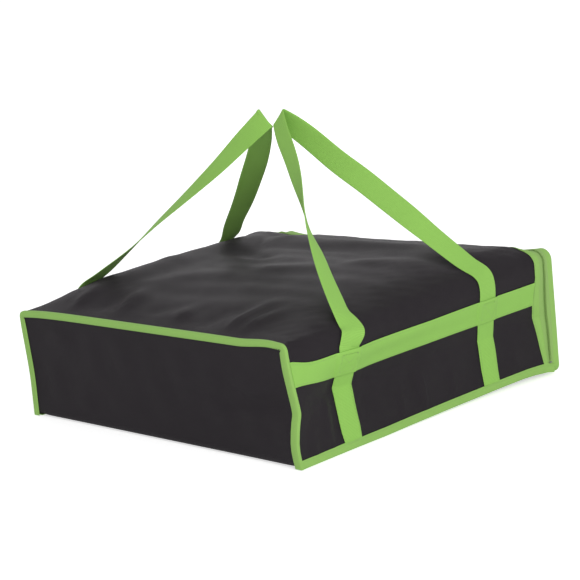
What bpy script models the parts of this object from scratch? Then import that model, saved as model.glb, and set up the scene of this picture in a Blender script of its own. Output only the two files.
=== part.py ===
"""A soft insulated carrier for flat boxes: a crowned fabric sleeve, a tray-shaped base that folds up into
the closed end, a zipped door at the other end, and webbing that runs round the sides into two handles.

X runs along the bag from the closed end to the door, Y across it, Z up. The origin lies on the
underside, in the middle of the bag. The side at -Y is called the front, the side at +Y the back.
"""
import math

import bmesh
import bpy
import numpy as np

mm = 0.001
degree = math.pi / 180

# Outer shape of the bag
bag_length = 440 * mm
bag_width = 450 * mm
rear_height = {-1: 132 * mm, 1: 128 * mm}
mouth_height = {-1: 152 * mm, 1: 142 * mm}
shoulder_lift = 8 * mm
crown_rear = 3 * mm
crown_mouth = -3.5 * mm
crown_swell = 19 * mm
corner_radius_rear = 6.5 * mm
corner_radius_mouth = 14 * mm
corner_radius_swell = 22 * mm
side_bow = {-1: 8 * mm, 1: 10 * mm}
low_corner_radius = 6 * mm
least_radius = 0.4 * mm

# Layers of the walls
fabric = 0.8 * mm
foam = 3 * mm
lining = 0.5 * mm
gap = 0.3 * mm

# Binding tape, zip and door
binding = 0.6 * mm
binding_width = 10 * mm
binding_face = 8.5 * mm
gusset_depth = 37 * mm
tape = 0.8 * mm
coil_width = 2.6 * mm
coil_height = 1.6 * mm
zip_slot = 1.2 * mm
zip_foot = {-1: 14 * mm, 1: 19 * mm}
stop_height = 2.2 * mm
door_clearance = 0.3 * mm

# Slider and its pull tab
slider_height = 12 * mm
slider_width = 9.6 * mm
slider_plate = 1.2 * mm
slider_flange = 1.2 * mm
slider_neck = 0.6 * mm
slider_heel_width = 8.4 * mm
slider_heel = 1 * mm
bail_width = 1.2 * mm
bail_leg = 1 * mm
bail_opening = 3.4 * mm
bail_height = 2.3 * mm
pull_width = 7 * mm
pull_length = 17 * mm
pull_thickness = 1.1 * mm
pull_slot_width = 3 * mm
pull_slot_length = 3.9 * mm
pull_standoff = 0.6 * mm

# Webbing
webbing_width = 27 * mm
webbing = 1.2 * mm
band_height = 101 * mm
strap_setback = {-1: 85.5 * mm, 1: 78.5 * mm}
stitch_box = 20 * mm
stitch_width = 1.2 * mm
stitch_height = 0.4 * mm

# Handles: where each apex stands, and how the webbing turns on its way there
handle_rise = {(-1, -1): 18 * mm, (-1, 1): 31 * mm, (1, -1): 24 * mm, (1, 1): 30 * mm}
handle_apex_height = {-1: 338 * mm, 1: 347 * mm}
handle_apex_reach = {-1: 199 * mm, 1: 238 * mm}
handle_apex_shift = 3.5 * mm
handle_cap = 26 * mm
handle_nip = 1.5 * mm
handle_twist = {(-1, -1): 34 * degree, (-1, 1): 32 * degree, (1, -1): 18 * degree, (1, 1): 18 * degree}
handle_bow = {(-1, -1): -8 * mm, (-1, 1): 0, (1, -1): 0, (1, 1): -7 * mm}

# Places along the bag that follow from the sizes above
rear_x = -bag_length / 2
door_x = bag_length / 2
mouth_x = door_x - gusset_depth
binding_end_x = mouth_x + binding_width
sleeve_end_x = binding_end_x - binding - gap
ring_x = door_x - binding_width
zip_x = (binding_end_x + ring_x) / 2
tray_end_x = ring_x - gap
seam_x = rear_x + binding_width - gap
bend_radius = binding_width - 2 * gap
tray_lift = binding + gap
tray_shelf = binding_width + gap
tray_ramp = 2 * binding_width
wall_inset = fabric + gap
foam_inset = wall_inset + foam + gap
inner_inset = foam_inset + lining + gap
tray_foam_depth = tray_lift + fabric + gap
tray_lining_depth = tray_foam_depth + foam + gap
tray_inner_depth = tray_lining_depth + lining + gap
strap_xs = {-1: rear_x + strap_setback[-1], 1: mouth_x - strap_setback[1]}
apex_x = (strap_xs[-1] + strap_xs[1]) / 2 - handle_apex_shift
band_low = band_height - webbing_width / 2
band_top = band_height + webbing_width / 2
band_face = gap + webbing
strap_inner = band_face + gap
strap_face = strap_inner + webbing
low_edge = binding_width + gap

# Counts of steps in the curved parts
length_steps = 11
arc_steps = 4
crown_steps = 12
bend_steps = 3
end_steps = 2
crown_power = 7
knee_shares = (0, 0.8)
leg_shares = (0.025,) + tuple(step / 11 for step in range(1, 12))

# Colours and surface values of the five kinds of material
finishes = {
    "black_fabric": ((0.030, 0.028, 0.031), 0.85, 0.0),
    "grey_foam": ((0.55, 0.55, 0.56), 0.9, 0.0),
    "silver_lining": ((0.62, 0.63, 0.65), 0.35, 0.6),
    "green_webbing": ((0.28, 0.55, 0.10), 0.75, 0.0),
    "dark_metal": ((0.10, 0.10, 0.11), 0.4, 0.9),
}


def mix(start, end, share):
    return start + (end - start) * share


def length_share(x):
    """0 at the closed end, 1 at the mouth seam and beyond it."""
    return min(max((x - rear_x) / (mouth_x - rear_x), 0), 1)


def bulge(x):
    return math.sin(math.pi * length_share(x))


def half_width(side, x):
    return bag_width / 2 - side_bow[side] * bulge(x)


def corner_radius(x):
    return mix(corner_radius_rear, corner_radius_mouth, length_share(x)) + corner_radius_swell * bulge(x)


def crown(x):
    return mix(crown_rear, crown_mouth, length_share(x)) + crown_swell * bulge(x)


def edge_height(side, x):
    return mix(rear_height[side], mouth_height[side], length_share(x)) + shoulder_lift * bulge(x)


def shoulder(side, x, inset):
    """Centre and radius of the rounded edge between a side wall and the top, at a depth under the face."""
    radius = max(corner_radius(x) - inset, least_radius)
    centre_y = half_width(side, x) - inset - radius
    centre_z = edge_height(side, x) - inset - radius
    return centre_y, centre_z, radius


def wall_y(side, x, z, inset):
    """Y of a side wall at a height, at a depth under its outer face; a negative depth is outside it."""
    centre_y, centre_z, radius = shoulder(side, x, inset)
    if z > centre_z:
        return side * (centre_y + math.sqrt(max(radius ** 2 - (z - centre_z) ** 2, 0)))
    return side * (half_width(side, x) - inset)


def side_line(side, x, inset, foot):
    """Points from the foot of one side wall to the end of its shoulder."""
    centre_y, centre_z, radius = shoulder(side, x, inset)
    slope = math.atan2(crown_power * crown(x), half_width(side, x) - corner_radius(x))
    points = [(wall_y(side, x, z, inset), z) for z in (foot, centre_z)]
    for step in range(1, arc_steps + 1):
        angle = (math.pi / 2 - slope) * step / arc_steps
        points.append((side * (centre_y + radius * math.cos(angle)), centre_z + radius * math.sin(angle)))
    return points


def crown_line(x, start, end):
    """Points between the two shoulders, raised by the crown."""
    points = []
    for step in range(1, crown_steps):
        share = (1 - math.cos(math.pi * step / crown_steps)) / 2
        lift = crown(x) * (1 - abs(2 * share - 1) ** crown_power)
        points.append((mix(start[0], end[0], share), mix(start[1], end[1], share) + lift))
    return points


def arch(x, inset, feet):
    """The sleeve's cross-section: up the front wall, over the top and down the back wall."""
    front = side_line(-1, x, inset, feet[-1])
    back = side_line(1, x, inset, feet[1])
    return front + crown_line(x, front[-1], back[-1]) + back[::-1]


def low_corner(side, inset):
    """The rounded corner at the foot of the door, from the floor line to the wall."""
    radius = max(low_corner_radius - inset, least_radius)
    centre_y = half_width(side, door_x) - inset - radius
    centre_z = door_clearance + inset + radius
    points = []
    for step in range(arc_steps):
        angle = math.pi / 2 * (1 - step / arc_steps)
        points.append((side * (centre_y + radius * math.cos(angle)), centre_z - radius * math.sin(angle)))
    return points, centre_z


def door_outline(x, inset):
    """The door's closed outline: the sleeve's arch, with a straight foot between two rounded corners."""
    front, front_foot = low_corner(-1, inset)
    back, back_foot = low_corner(1, inset)
    return front + arch(x, inset, {-1: front_foot, 1: back_foot}) + back[::-1]


def stations(start, end):
    """Places along X where every long piece has a ring of points, so that nested layers stay nested."""
    places = [mix(rear_x, mouth_x, step / length_steps) for step in range(length_steps + 1)]
    places.append(seam_x)
    inner = [x for x in places if start + gap < x < end - gap]
    return [start] + sorted(inner) + [end]


def finish_material(name):
    material = bpy.data.materials.get(name)
    if material is None:
        material = bpy.data.materials.new(name)
        material.use_nodes = True
        colour, roughness, metallic = finishes[name]
        shader = material.node_tree.nodes["Principled BSDF"]
        shader.inputs["Base Color"].default_value = (*colour, 1)
        shader.inputs["Roughness"].default_value = roughness
        shader.inputs["Metallic"].default_value = metallic
        material.diffuse_color = (*colour, 1)
    return material


def add_object(name, verts, faces, finish):
    mesh = bpy.data.meshes.new(name)
    mesh.from_pydata([tuple(float(value) for value in vert) for vert in verts], [], faces)
    shape = bmesh.new()
    shape.from_mesh(mesh)
    bmesh.ops.recalc_face_normals(shape, faces=shape.faces)
    shape.to_mesh(mesh)
    shape.free()
    mesh.shade_smooth()
    mesh.set_sharp_from_angle(angle=40 * degree)
    mesh.materials.append(finish_material(finish))
    made = bpy.data.objects.new(name, mesh)
    bpy.context.scene.collection.objects.link(made)
    return made


def skin_rings(name, rings, finish, closed_rings=True, closed_path=False):
    """A solid from equal rings of points: faces between neighbours, and a cap on each end of an open path.

    Every face between two rings is split along the diagonal that runs towards +X, so that layers whose
    points follow the same places stay the same distance apart all over.
    """
    count = len(rings[0])
    verts = [point for ring in rings for point in ring]
    faces = []
    for index in range(len(rings) if closed_path else len(rings) - 1):
        here = index * count
        there = (index + 1) % len(rings) * count
        for step in range(count if closed_rings else count - 1):
            after = (step + 1) % count
            if rings[0][step][0] <= rings[0][after][0]:
                faces.append((here + step, here + after, there + after))
                faces.append((here + step, there + after, there + step))
            else:
                faces.append((here + step, here + after, there + step))
                faces.append((here + after, there + after, there + step))
    if not closed_path:
        faces.append(tuple(range(count)))
        faces.append(tuple(range((len(rings) - 1) * count, len(rings) * count)))
    return add_object(name, verts, faces, finish)


def sweep_arch(name, profile, feet, finish):
    """Carry a profile of (x, inset) corners up one side of the bag, over the top and down the other."""
    lines = [arch(x, inset, feet) for x, inset in profile]
    rings = []
    for step in range(len(lines[0])):
        rings.append([(x, *line[step]) for (x, _), line in zip(profile, lines)])
    return skin_rings(name, rings, finish)


def sweep_ring(name, profile, finish):
    """Carry a profile of (x, inset) corners right round the door."""
    lines = [door_outline(x, inset) for x, inset in profile]
    rings = []
    for step in range(len(lines[0])):
        rings.append([(x, *line[step]) for (x, _), line in zip(profile, lines)])
    return skin_rings(name, rings, finish, closed_path=True)


def shell_profile(start, end, outer, inner):
    """Corners of a long thin layer: along its outer face and back along its inner face."""
    places = stations(start, end)
    return [(x, outer) for x in places] + [(x, inner) for x in reversed(places)]


def make_sleeve():
    feet = {-1: tray_lift, 1: tray_lift}
    inner_feet = {-1: tray_inner_depth, 1: tray_inner_depth}
    sweep_arch("outer_sleeve", shell_profile(rear_x, sleeve_end_x, 0, fabric), feet, "black_fabric")
    profile = shell_profile(seam_x, sleeve_end_x, wall_inset, wall_inset + foam)
    sweep_arch("insulation_sleeve", profile, inner_feet, "grey_foam")
    profile = shell_profile(seam_x, sleeve_end_x, foam_inset, foam_inset + lining)
    sweep_arch("lining_sleeve", profile, inner_feet, "silver_lining")


def tray_columns():
    """Shares of the half width where the tray has points, with extra ones where its edge steps up."""
    reach = half_width(1, rear_x) - wall_inset
    line = arch(rear_x, wall_inset, {-1: tray_lift, 1: tray_lift})[2:-2]
    shares = [y / reach for y, _ in line]
    for side in (-1, 1):
        shares.append(side * (reach - tray_shelf) / reach)
        shares.append(side * (reach - tray_ramp) / reach)
    return sorted(shares)


def roof_z(x, y, inset):
    """Height of the sleeve's underside above a point of the closed end."""
    line = arch(x, inset, {-1: tray_lift, 1: tray_lift})[2:-2]
    return float(np.interp(y, [point[0] for point in line], [point[1] for point in line]))


def tray_point(row, share, depth, lift):
    """A point of the tray: a row is a place on the floor, in the bend, or up the closed end."""
    kind, value = row
    side = 1 if share > 0 else -1
    from_edge = (1 - abs(share)) * (bag_width / 2 - wall_inset)
    raised = lift if from_edge < (tray_shelf + tray_ramp) / 2 else 0
    if kind == "floor":
        x = value
        z = depth + raised
    elif kind == "bend":
        x = rear_x + bend_radius - (bend_radius - depth) * math.sin(value)
        z = bend_radius - (bend_radius - depth) * math.cos(value) + raised * (1 - math.sin(value))
    else:
        x = rear_x + depth
        z = 0
    y = share * (half_width(side, x) - wall_inset)
    if kind == "end":
        z = mix(bend_radius, roof_z(x, y, wall_inset), value)
    return x, y, z


def make_tray_layer(name, depth, thickness, lift, finish):
    """One layer of the base: along the floor, round the bend and up the closed end to the top."""
    rows = [("floor", x) for x in reversed(stations(rear_x + bend_radius, tray_end_x))]
    rows += [("bend", math.pi / 2 * step / bend_steps) for step in range(1, bend_steps)]
    rows += [("end", step / end_steps) for step in range(end_steps + 1)]
    columns = tray_columns()
    rings = []
    for row in rows:
        outer = [tray_point(row, share, depth, lift) for share in columns]
        inner = [tray_point(row, share, depth + thickness, lift) for share in reversed(columns)]
        rings.append(outer + inner)
    count = len(columns)
    made = skin_rings(name, rings, finish)
    split_end_caps(made, count)
    return made


def split_end_caps(made, count):
    """Replace each long thin end cap by quads between its two facing lines of points."""
    shape = bmesh.new()
    shape.from_mesh(made.data)
    shape.verts.ensure_lookup_table()
    shape.faces.ensure_lookup_table()
    caps = [face for face in shape.faces if len(face.verts) == 2 * count]
    starts = [0, len(shape.verts) - 2 * count]
    bmesh.ops.delete(shape, geom=caps, context="FACES_ONLY")
    shape.verts.ensure_lookup_table()
    for start in starts:
        for step in range(count - 1):
            corners = (start + step, start + step + 1, start + 2 * count - 2 - step, start + 2 * count - 1 - step)
            shape.faces.new([shape.verts[corner] for corner in corners])
    bmesh.ops.recalc_face_normals(shape, faces=shape.faces)
    shape.to_mesh(made.data)
    shape.free()


def make_tray():
    make_tray_layer("outer_base", 0, fabric, tray_lift, "black_fabric")
    make_tray_layer("insulation_base", tray_foam_depth, foam, 0, "grey_foam")
    make_tray_layer("lining_base", tray_lining_depth, lining, 0, "silver_lining")


def make_bindings():
    outside = -gap - binding
    face_x = rear_x - gap
    feet = {-1: gap, 1: gap}
    profile = [(face_x - binding, outside), (seam_x, outside), (seam_x, -gap), (face_x, -gap),
               (face_x, binding_face), (face_x - binding, binding_face)]
    sweep_arch("binding_rear", profile, feet, "green_webbing")

    feet = {-1: low_edge, 1: low_edge}
    web_x = binding_end_x - binding
    inside = inner_inset + binding
    profile = [(mouth_x, outside), (binding_end_x, outside), (binding_end_x, inside), (mouth_x, inside),
               (mouth_x, inner_inset), (web_x, inner_inset), (web_x, -gap), (mouth_x, -gap)]
    sweep_arch("binding_mouth", profile, feet, "green_webbing")

    for side, name in ((-1, "binding_base_front"), (1, "binding_base_back")):
        rings = []
        for x in stations(rear_x + binding_width, tray_end_x):
            face = wall_y(side, x, 0, outside)
            back = wall_y(side, x, 0, -gap)
            under = face - side * binding_width
            high = [wall_y(side, x, binding_width, inset) for inset in (outside, -gap)]
            rings.append([(x, face, 0), (x, high[0], binding_width), (x, high[1], binding_width),
                          (x, back, binding), (x, under, binding), (x, under, 0)])
        skin_rings(name, rings, "green_webbing")


def make_door():
    flange_x = door_x - binding
    profile = [(ring_x, 0), (door_x, 0), (door_x, binding_width), (flange_x, binding_width),
               (flange_x, binding), (ring_x, binding)]
    sweep_ring("binding_door", profile, "green_webbing")
    face_x = flange_x - gap
    inset = binding + gap
    layers = (("door_outer", fabric, "black_fabric"), ("door_insulation", foam, "grey_foam"),
              ("door_lining", lining, "silver_lining"))
    for name, thickness, finish in layers:
        outline = door_outline(door_x, inset)
        rings = [[(x, y, z) for y, z in outline] for x in (face_x, face_x - thickness)]
        skin_rings(name, rings, finish)
        face_x -= thickness + gap


def make_zip():
    low = {-1: tray_lift + fabric, 1: tray_lift + fabric}
    body_end = zip_x - zip_slot / 2
    door_start = zip_x + zip_slot / 2
    strips = (
        ("zip_tape_body", binding_end_x + gap, body_end, 0, tape, low),
        ("zip_tape_door", door_start, ring_x - gap, 0, tape, low),
        ("zip_coil_body", body_end - coil_width, body_end, -gap - coil_height, -gap, zip_foot),
        ("zip_coil_door", door_start, door_start + coil_width, -gap - coil_height, -gap,
         {-1: zip_foot[-1], 1: zip_foot[1] + slider_height + gap}),
    )
    for name, start, end, outer, inner, feet in strips:
        finish = "green_webbing"
        sweep_arch(name, [(start, outer), (end, outer), (end, inner), (start, inner)], feet, finish)
    for side, name in ((-1, "zip_stop_front"), (1, "zip_stop_back")):
        top = zip_foot[side] - gap
        rings = []
        for z in (top - stop_height, top):
            rings.append([(x, wall_y(side, x, z, inset), z) for x, inset in
                          ((body_end - coil_width, -gap - coil_height), (body_end, -gap - coil_height),
                           (body_end, -gap), (body_end - coil_width, -gap))])
        skin_rings(name, rings, "dark_metal")


def slider_profile():
    """Half of the slider's section, as (distance from the middle, depth): plate, flange, neck and heel."""
    plate_low = -2 * gap - coil_height
    plate_top = plate_low - slider_plate
    heel_top = tape + gap
    return [(slider_width / 2, plate_top), (slider_width / 2, -gap),
            (slider_width / 2 - slider_flange, -gap), (slider_width / 2 - slider_flange, plate_low),
            (slider_neck / 2, plate_low), (slider_neck / 2, heel_top), (slider_heel_width / 2, heel_top),
            (slider_heel_width / 2, heel_top + slider_heel)]


def make_slider():
    face_y = half_width(1, zip_x)
    half = slider_profile()
    section = half + [(-across, depth) for across, depth in reversed(half)]
    low = zip_foot[1]
    rings = []
    for z in (low, low + slider_height):
        rings.append([(zip_x + across, face_y - depth, z) for across, depth in section])
    slider = skin_rings("zip_slider", rings, "dark_metal")

    plate_y = face_y - half[0][1]
    middle = low + slider_height / 2
    inner = bail_opening / 2
    outer = inner + bail_leg
    bridge = plate_y + bail_height
    root = plate_y - slider_plate / 2
    hoop = [(root, -outer), (bridge + bail_leg, -outer), (bridge + bail_leg, outer), (root, outer),
            (root, inner), (bridge, inner), (bridge, -inner), (root, -inner)]
    rings = []
    for across in (-bail_width / 2, bail_width / 2):
        rings.append([(zip_x + across, y, middle + up) for y, up in hoop])
    bail = skin_rings("slider_bail_guide", rings, "dark_metal")
    bail.hide_render = True
    bail.display_type = "WIRE"
    join = slider.modifiers.new("bail", "BOOLEAN")
    join.operation = "UNION"
    join.solver = "EXACT"
    join.object = bail

    axis = (zip_x, plate_y + pull_standoff + pull_thickness / 2, middle)
    make_pull(axis)


def make_pull(axis):
    """The pull tab: a flat bar whose slotted end turns under the slider's bail."""
    half = pull_thickness / 2
    across = (-pull_width / 2, -pull_slot_width / 2, pull_slot_width / 2, pull_width / 2)
    heights = (half, -half, -half - pull_slot_length, half - pull_length)
    verts = []
    for depth in (-half, half):
        verts += [(x, depth, z) for z in heights for x in across]
    layer = len(across) * len(heights)
    faces = []
    for row in range(3):
        for column in range(3):
            if (row, column) != (1, 1):
                start = row * 4 + column
                faces.append((start, start + 1, start + 5, start + 4))
                faces.append(tuple(layer + index for index in (start, start + 4, start + 5, start + 1)))
    rim = [0, 1, 2, 3, 7, 11, 15, 14, 13, 12, 8, 4]
    slot = [5, 9, 10, 6]
    for loop in (rim, slot):
        for index, here in enumerate(loop):
            there = loop[(index + 1) % len(loop)]
            faces.append((here, there, layer + there, layer + here))
    pull = add_object("zip_pull", verts, faces, "dark_metal")
    pull.location = axis


def make_bands():
    for side, name in ((-1, "band_front"), (1, "band_back")):
        rings = []
        for x in stations(rear_x + binding_width, mouth_x - gap):
            lines = []
            for inset in (-band_face, -gap):
                lines.append([(x, wall_y(side, x, z, inset), z) for z in (band_low, band_height, band_top)])
            rings.append(lines[0] + lines[1][::-1])
        skin_rings(name, rings, "green_webbing")


def strap_profile():
    """(height, depth) corners of a strap that climbs the wall and steps out over the band."""
    step_low = band_low - gap
    turn_low = step_low - webbing
    outer = [(low_edge, -band_face), (turn_low, -band_face), (turn_low, -strap_face), (band_top, -strap_face)]
    inner = [(band_top, -strap_inner), (step_low, -strap_inner), (step_low, -gap), (low_edge, -gap)]
    return outer + inner


def make_straps():
    for side, side_name in ((-1, "front"), (1, "back")):
        for end, end_name in ((-1, "rear"), (1, "door")):
            rings = []
            for x in (strap_xs[end] - webbing_width / 2, strap_xs[end] + webbing_width / 2):
                rings.append([(x, wall_y(side, x, z, inset), z) for z, inset in strap_profile()])
            skin_rings("strap_" + side_name + "_" + end_name, rings, "green_webbing")
            make_stitch_box(side, end, "stitch_" + side_name + "_" + end_name)


def make_stitch_box(side, end, name):
    """A square of thread with a cross in it, as one flat piece with four three-cornered holes."""
    half = stitch_box / 2
    inner = half - stitch_width
    nip = stitch_width / math.sqrt(2)
    outline = [(-half, -half), (half, -half), (half, half), (-half, half)]
    hole = [(-inner + nip, -inner), (inner - nip, -inner), (0, -nip)]
    shape = bmesh.new()
    loops = [outline]
    for turn in range(4):
        cosine, sine = round(math.cos(math.pi / 2 * turn)), round(math.sin(math.pi / 2 * turn))
        loops.append([(cosine * a - sine * b, sine * a + cosine * b) for a, b in hole])
    for loop in loops:
        verts = [shape.verts.new((a, 0, b)) for a, b in loop]
        for index, vert in enumerate(verts):
            shape.edges.new((vert, verts[(index + 1) % len(verts)]))
    bmesh.ops.triangle_fill(shape, edges=shape.edges, use_beauty=True)
    made = bmesh.ops.extrude_face_region(shape, geom=shape.faces[:], use_keep_orig=True)
    fronts = {item for item in made["geom"] if isinstance(item, bmesh.types.BMVert)}
    for vert in shape.verts:
        inset = -strap_face - gap - (stitch_height if vert in fronts else 0)
        x = strap_xs[end] + vert.co.x
        z = band_height + vert.co.z
        vert.co = (x, wall_y(side, x, z, inset), z)
    bmesh.ops.recalc_face_normals(shape, faces=shape.faces)
    mesh = bpy.data.meshes.new(name)
    shape.to_mesh(mesh)
    shape.free()
    mesh.materials.append(finish_material("green_webbing"))
    stitch = bpy.data.objects.new(name, mesh)
    bpy.context.scene.collection.objects.link(stitch)


def unit(vector):
    return vector / np.linalg.norm(vector)


def handle_edges(side):
    """Outer and inner edge points of a handle, from its rear foot over the apex to its foot at the door end."""
    foot_z = band_top + gap
    middle = -(strap_inner + strap_face) / 2
    knees = {}
    for end, x in strap_xs.items():
        knees[end] = np.array([x, wall_y(side, x, band_top, middle), foot_z + handle_rise[side, end]])
    apex = np.array([apex_x, knees[-1][1] - side * handle_apex_reach[side], handle_apex_height[side]])
    legs = {end: unit(apex - knee) for end, knee in knees.items()}
    down = -unit(legs[-1] + legs[1])
    normal = unit(np.cross(legs[-1], legs[1]))
    facing = normal if normal[1] > 0 else -normal
    half_angle = math.acos(float(-legs[-1] @ down))
    inner_corner = apex + down * webbing_width / 2 / math.sin(half_angle)
    chains = {}
    for end, leg in legs.items():
        inward = unit(np.cross(normal, leg))
        inward = inward if inward @ down > 0 else -inward
        across = np.array([-end, 0, 0])
        outer_end = apex - down * webbing_width / 2 / math.sin(half_angle) - leg * handle_cap / 2 / math.sin(half_angle)
        inner_end = inner_corner - leg * handle_nip
        foot = np.array([knees[end][0], knees[end][1], foot_z])
        chain = []
        for share in knee_shares:
            centre = foot + np.array([0, 0, handle_rise[side, end] * share])
            chain.append((centre - across * webbing_width / 2, centre + across * webbing_width / 2, across))
        for share in leg_shares:
            outer = mix(knees[end] - inward * webbing_width / 2, outer_end, share)
            inner = mix(knees[end] + inward * webbing_width / 2, inner_end, share)
            reach = np.linalg.norm(inner - outer) / 2
            wave = math.sin(math.pi * share)
            centre = (outer + inner) / 2 + inward * handle_bow[side, end] * wave
            turn = handle_twist[side, end] * wave
            direction = unit(inner - outer) * math.cos(turn) + facing * math.sin(turn)
            chain.append((centre - direction * reach, centre + direction * reach, direction))
        chains[end] = chain
    return chains[-1] + chains[1][::-1]


def make_handles():
    for side, name in ((-1, "handle_front"), (1, "handle_back")):
        chain = handle_edges(side)
        centres = [(outer + inner) / 2 for outer, inner, _ in chain]
        rings = []
        previous = None
        for index, (outer, inner, _) in enumerate(chain):
            ahead = centres[min(index + 1, len(chain) - 1)]
            behind = centres[max(index - 1, 0)]
            if index in (0, len(chain) - 1):
                facing = np.array([0.0, 1.0, 0.0])
            else:
                facing = unit(np.cross(unit(ahead - behind), unit(inner - outer)))
            if previous is not None and facing @ previous < 0:
                facing = -facing
            previous = facing
            offset = facing * webbing / 2
            rings.append([outer - offset, inner - offset, inner + offset, outer + offset])
        handle = skin_rings(name, rings, "green_webbing")
        place_on_hinge(handle, side)


def handle_axis(side):
    """The line where a handle leaves its straps: along X, through the straps' outermost top corners."""
    corner_x = strap_xs[-1] - webbing_width / 2
    return apex_x, wall_y(side, corner_x, band_top, -strap_face - gap / 2), band_top + gap / 2


def place_on_hinge(handle, side):
    origin = np.array(handle_axis(side))
    for vert in handle.data.vertices:
        vert.co = [float(value) for value in np.array(vert.co) - origin]
    handle.location = [float(value) for value in origin]


def clear_scene():
    for item in list(bpy.data.objects):
        bpy.data.objects.remove(item, do_unlink=True)


def make_bag():
    make_sleeve()
    make_tray()
    make_bindings()
    make_door()
    make_zip()
    make_slider()
    make_bands()
    make_straps()
    make_handles()


clear_scene()
make_bag()
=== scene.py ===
import math

import bpy
import numpy as np
from mathutils import Matrix


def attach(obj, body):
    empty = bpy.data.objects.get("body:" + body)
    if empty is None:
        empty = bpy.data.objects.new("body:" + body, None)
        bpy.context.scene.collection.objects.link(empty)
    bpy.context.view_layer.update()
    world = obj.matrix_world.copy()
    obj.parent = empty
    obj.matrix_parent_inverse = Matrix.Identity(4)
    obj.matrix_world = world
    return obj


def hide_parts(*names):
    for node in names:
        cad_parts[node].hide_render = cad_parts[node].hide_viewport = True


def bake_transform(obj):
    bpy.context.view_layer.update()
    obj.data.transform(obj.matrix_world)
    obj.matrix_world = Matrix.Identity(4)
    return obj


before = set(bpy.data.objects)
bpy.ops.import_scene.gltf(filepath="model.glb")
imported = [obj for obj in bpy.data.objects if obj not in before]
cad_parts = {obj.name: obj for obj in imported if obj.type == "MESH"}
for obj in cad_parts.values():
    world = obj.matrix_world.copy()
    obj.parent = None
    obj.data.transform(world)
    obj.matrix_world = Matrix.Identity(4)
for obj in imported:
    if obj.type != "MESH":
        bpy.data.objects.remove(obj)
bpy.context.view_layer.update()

mm = 0.001
degree = math.pi / 180
print("frame loaded:", len(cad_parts), "nodes")


# small helpers

def mix(start, end, share):
    return start + (end - start) * share


def ease(low, high, value):
    # 0 below low, 1 above high, and 3t^2 - 2t^3 in between
    share = np.clip((value - low) / (high - low), 0, 1)
    return share * share * (3 - 2 * share)


def softLesser(first, second, width):
    # the lesser of two values, with the corner between them rounded over about width
    return (first + second - np.sqrt((first - second) ** 2 + width ** 2)) / 2


def softPositive(value, width):
    # the value where it is above 0 and 0 below, rounded over about width
    return (value + np.sqrt(value ** 2 + width ** 2)) / 2


def within(value, rise, fall):
    # 0 before the rise, 1 from its end to the start of the fall, and 0 past the fall
    return ease(*rise, value) * (1 - ease(*fall, value))


def tent(rise, fall, rounding):
    # up one slope and down the other, rounded at the top and at the foot
    return softPositive(softLesser(rise, fall, rounding[0]), rounding[1])


def bell(value, width):
    return np.exp(-(value / width) ** 2)


def unit(vectors):
    return vectors / np.maximum(np.linalg.norm(vectors, axis=-1, keepdims=True), 1e-12)


def ripple(first, second, pitch, seed, layers=7):
    # a sum of sine waves in seeded directions and lengths, about -1 to 1
    draw = np.random.default_rng(seed)
    total = np.zeros(np.broadcast(first, second).shape)
    for _ in range(layers):
        turn = draw.uniform(0, math.pi)
        length = pitch * draw.uniform(0.55, 1.6)
        phase = draw.uniform(0, 2 * math.pi)
        place = first * math.cos(turn) + second * math.sin(turn)
        total = total + np.sin(2 * math.pi * place / length + phase)
    return total / math.sqrt(layers)


# the bag's outline, as the CAD has it

bag = {
    "rearX": -220 * mm, "mouthX": 183 * mm, "doorX": 220 * mm, "half": 225 * mm,
    "rearEdge": {-1: 132 * mm, 1: 128 * mm}, "mouthEdge": {-1: 152 * mm, 1: 142 * mm}, "lift": 8 * mm,
    "crown": (3 * mm, -3.5 * mm, 19 * mm), "crownPower": 7, "radius": (6.5 * mm, 14 * mm, 22 * mm),
    "bow": {-1: 8 * mm, 1: 10 * mm},
    "leastRadius": 0.4 * mm, "lowRadius": 10 * mm, "doorClearance": 0.3 * mm,
    "wallShare": 0.22, "shoulderShare": 0.08,
    "tapeWidth": 10 * mm, "ringX": 210 * mm, "sleeveEndX": 192.1 * mm, "seamX": -210.3 * mm,
    "trayLift": 0.9 * mm, "trayEndX": 209.7 * mm, "bendRadius": 9.4 * mm, "wallInset": 1.1 * mm,
    "innerInset": 5.2 * mm, "innerFloor": 6.1 * mm, "zipX": 201.5 * mm,
    "strapX": {-1: -134.5 * mm, 1: 104.5 * mm},
}


def lengthShare(x):
    # 0 at the closed end, 1 from the mouth seam on
    return np.clip((x - bag["rearX"]) / (bag["mouthX"] - bag["rearX"]), 0, 1)


def swell(x):
    return np.sin(math.pi * lengthShare(x))


def halfWidth(side, x):
    return bag["half"] - bag["bow"][side] * swell(x)


def grown(sizes, x):
    # a size that runs from its value at the closed end to that at the mouth, plus a swell between them
    return mix(sizes[0], sizes[1], lengthShare(x)) + sizes[2] * swell(x)


def shoulder(side, x, inset):
    # centre and radius of the rounded edge between wall and top, at a depth under the face
    radius = np.maximum(grown(bag["radius"], x) - inset, bag["leastRadius"])
    edge = mix(bag["rearEdge"][side], bag["mouthEdge"][side], lengthShare(x)) + bag["lift"] * swell(x)
    return halfWidth(side, x) - inset - radius, edge - inset - radius, radius


def sideLine(side, x, inset, foot, share):
    # straight up the wall, then round the shoulder by the angle at which the crown starts
    centreY, centreZ, radius = shoulder(side, x, inset)
    flat = halfWidth(side, x) - grown(bag["radius"], x)
    slope = np.arctan2(bag["crownPower"] * grown(bag["crown"], x), flat)
    turn = (math.pi / 2 - slope) * np.clip((share - bag["wallShare"]) / bag["shoulderShare"], 0, 1)
    height = mix(foot, centreZ, np.clip(share / bag["wallShare"], 0, 1))
    z = np.where(share < bag["wallShare"], height, centreZ + radius * np.sin(turn))
    return side * (centreY + radius * np.cos(turn)), z


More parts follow.
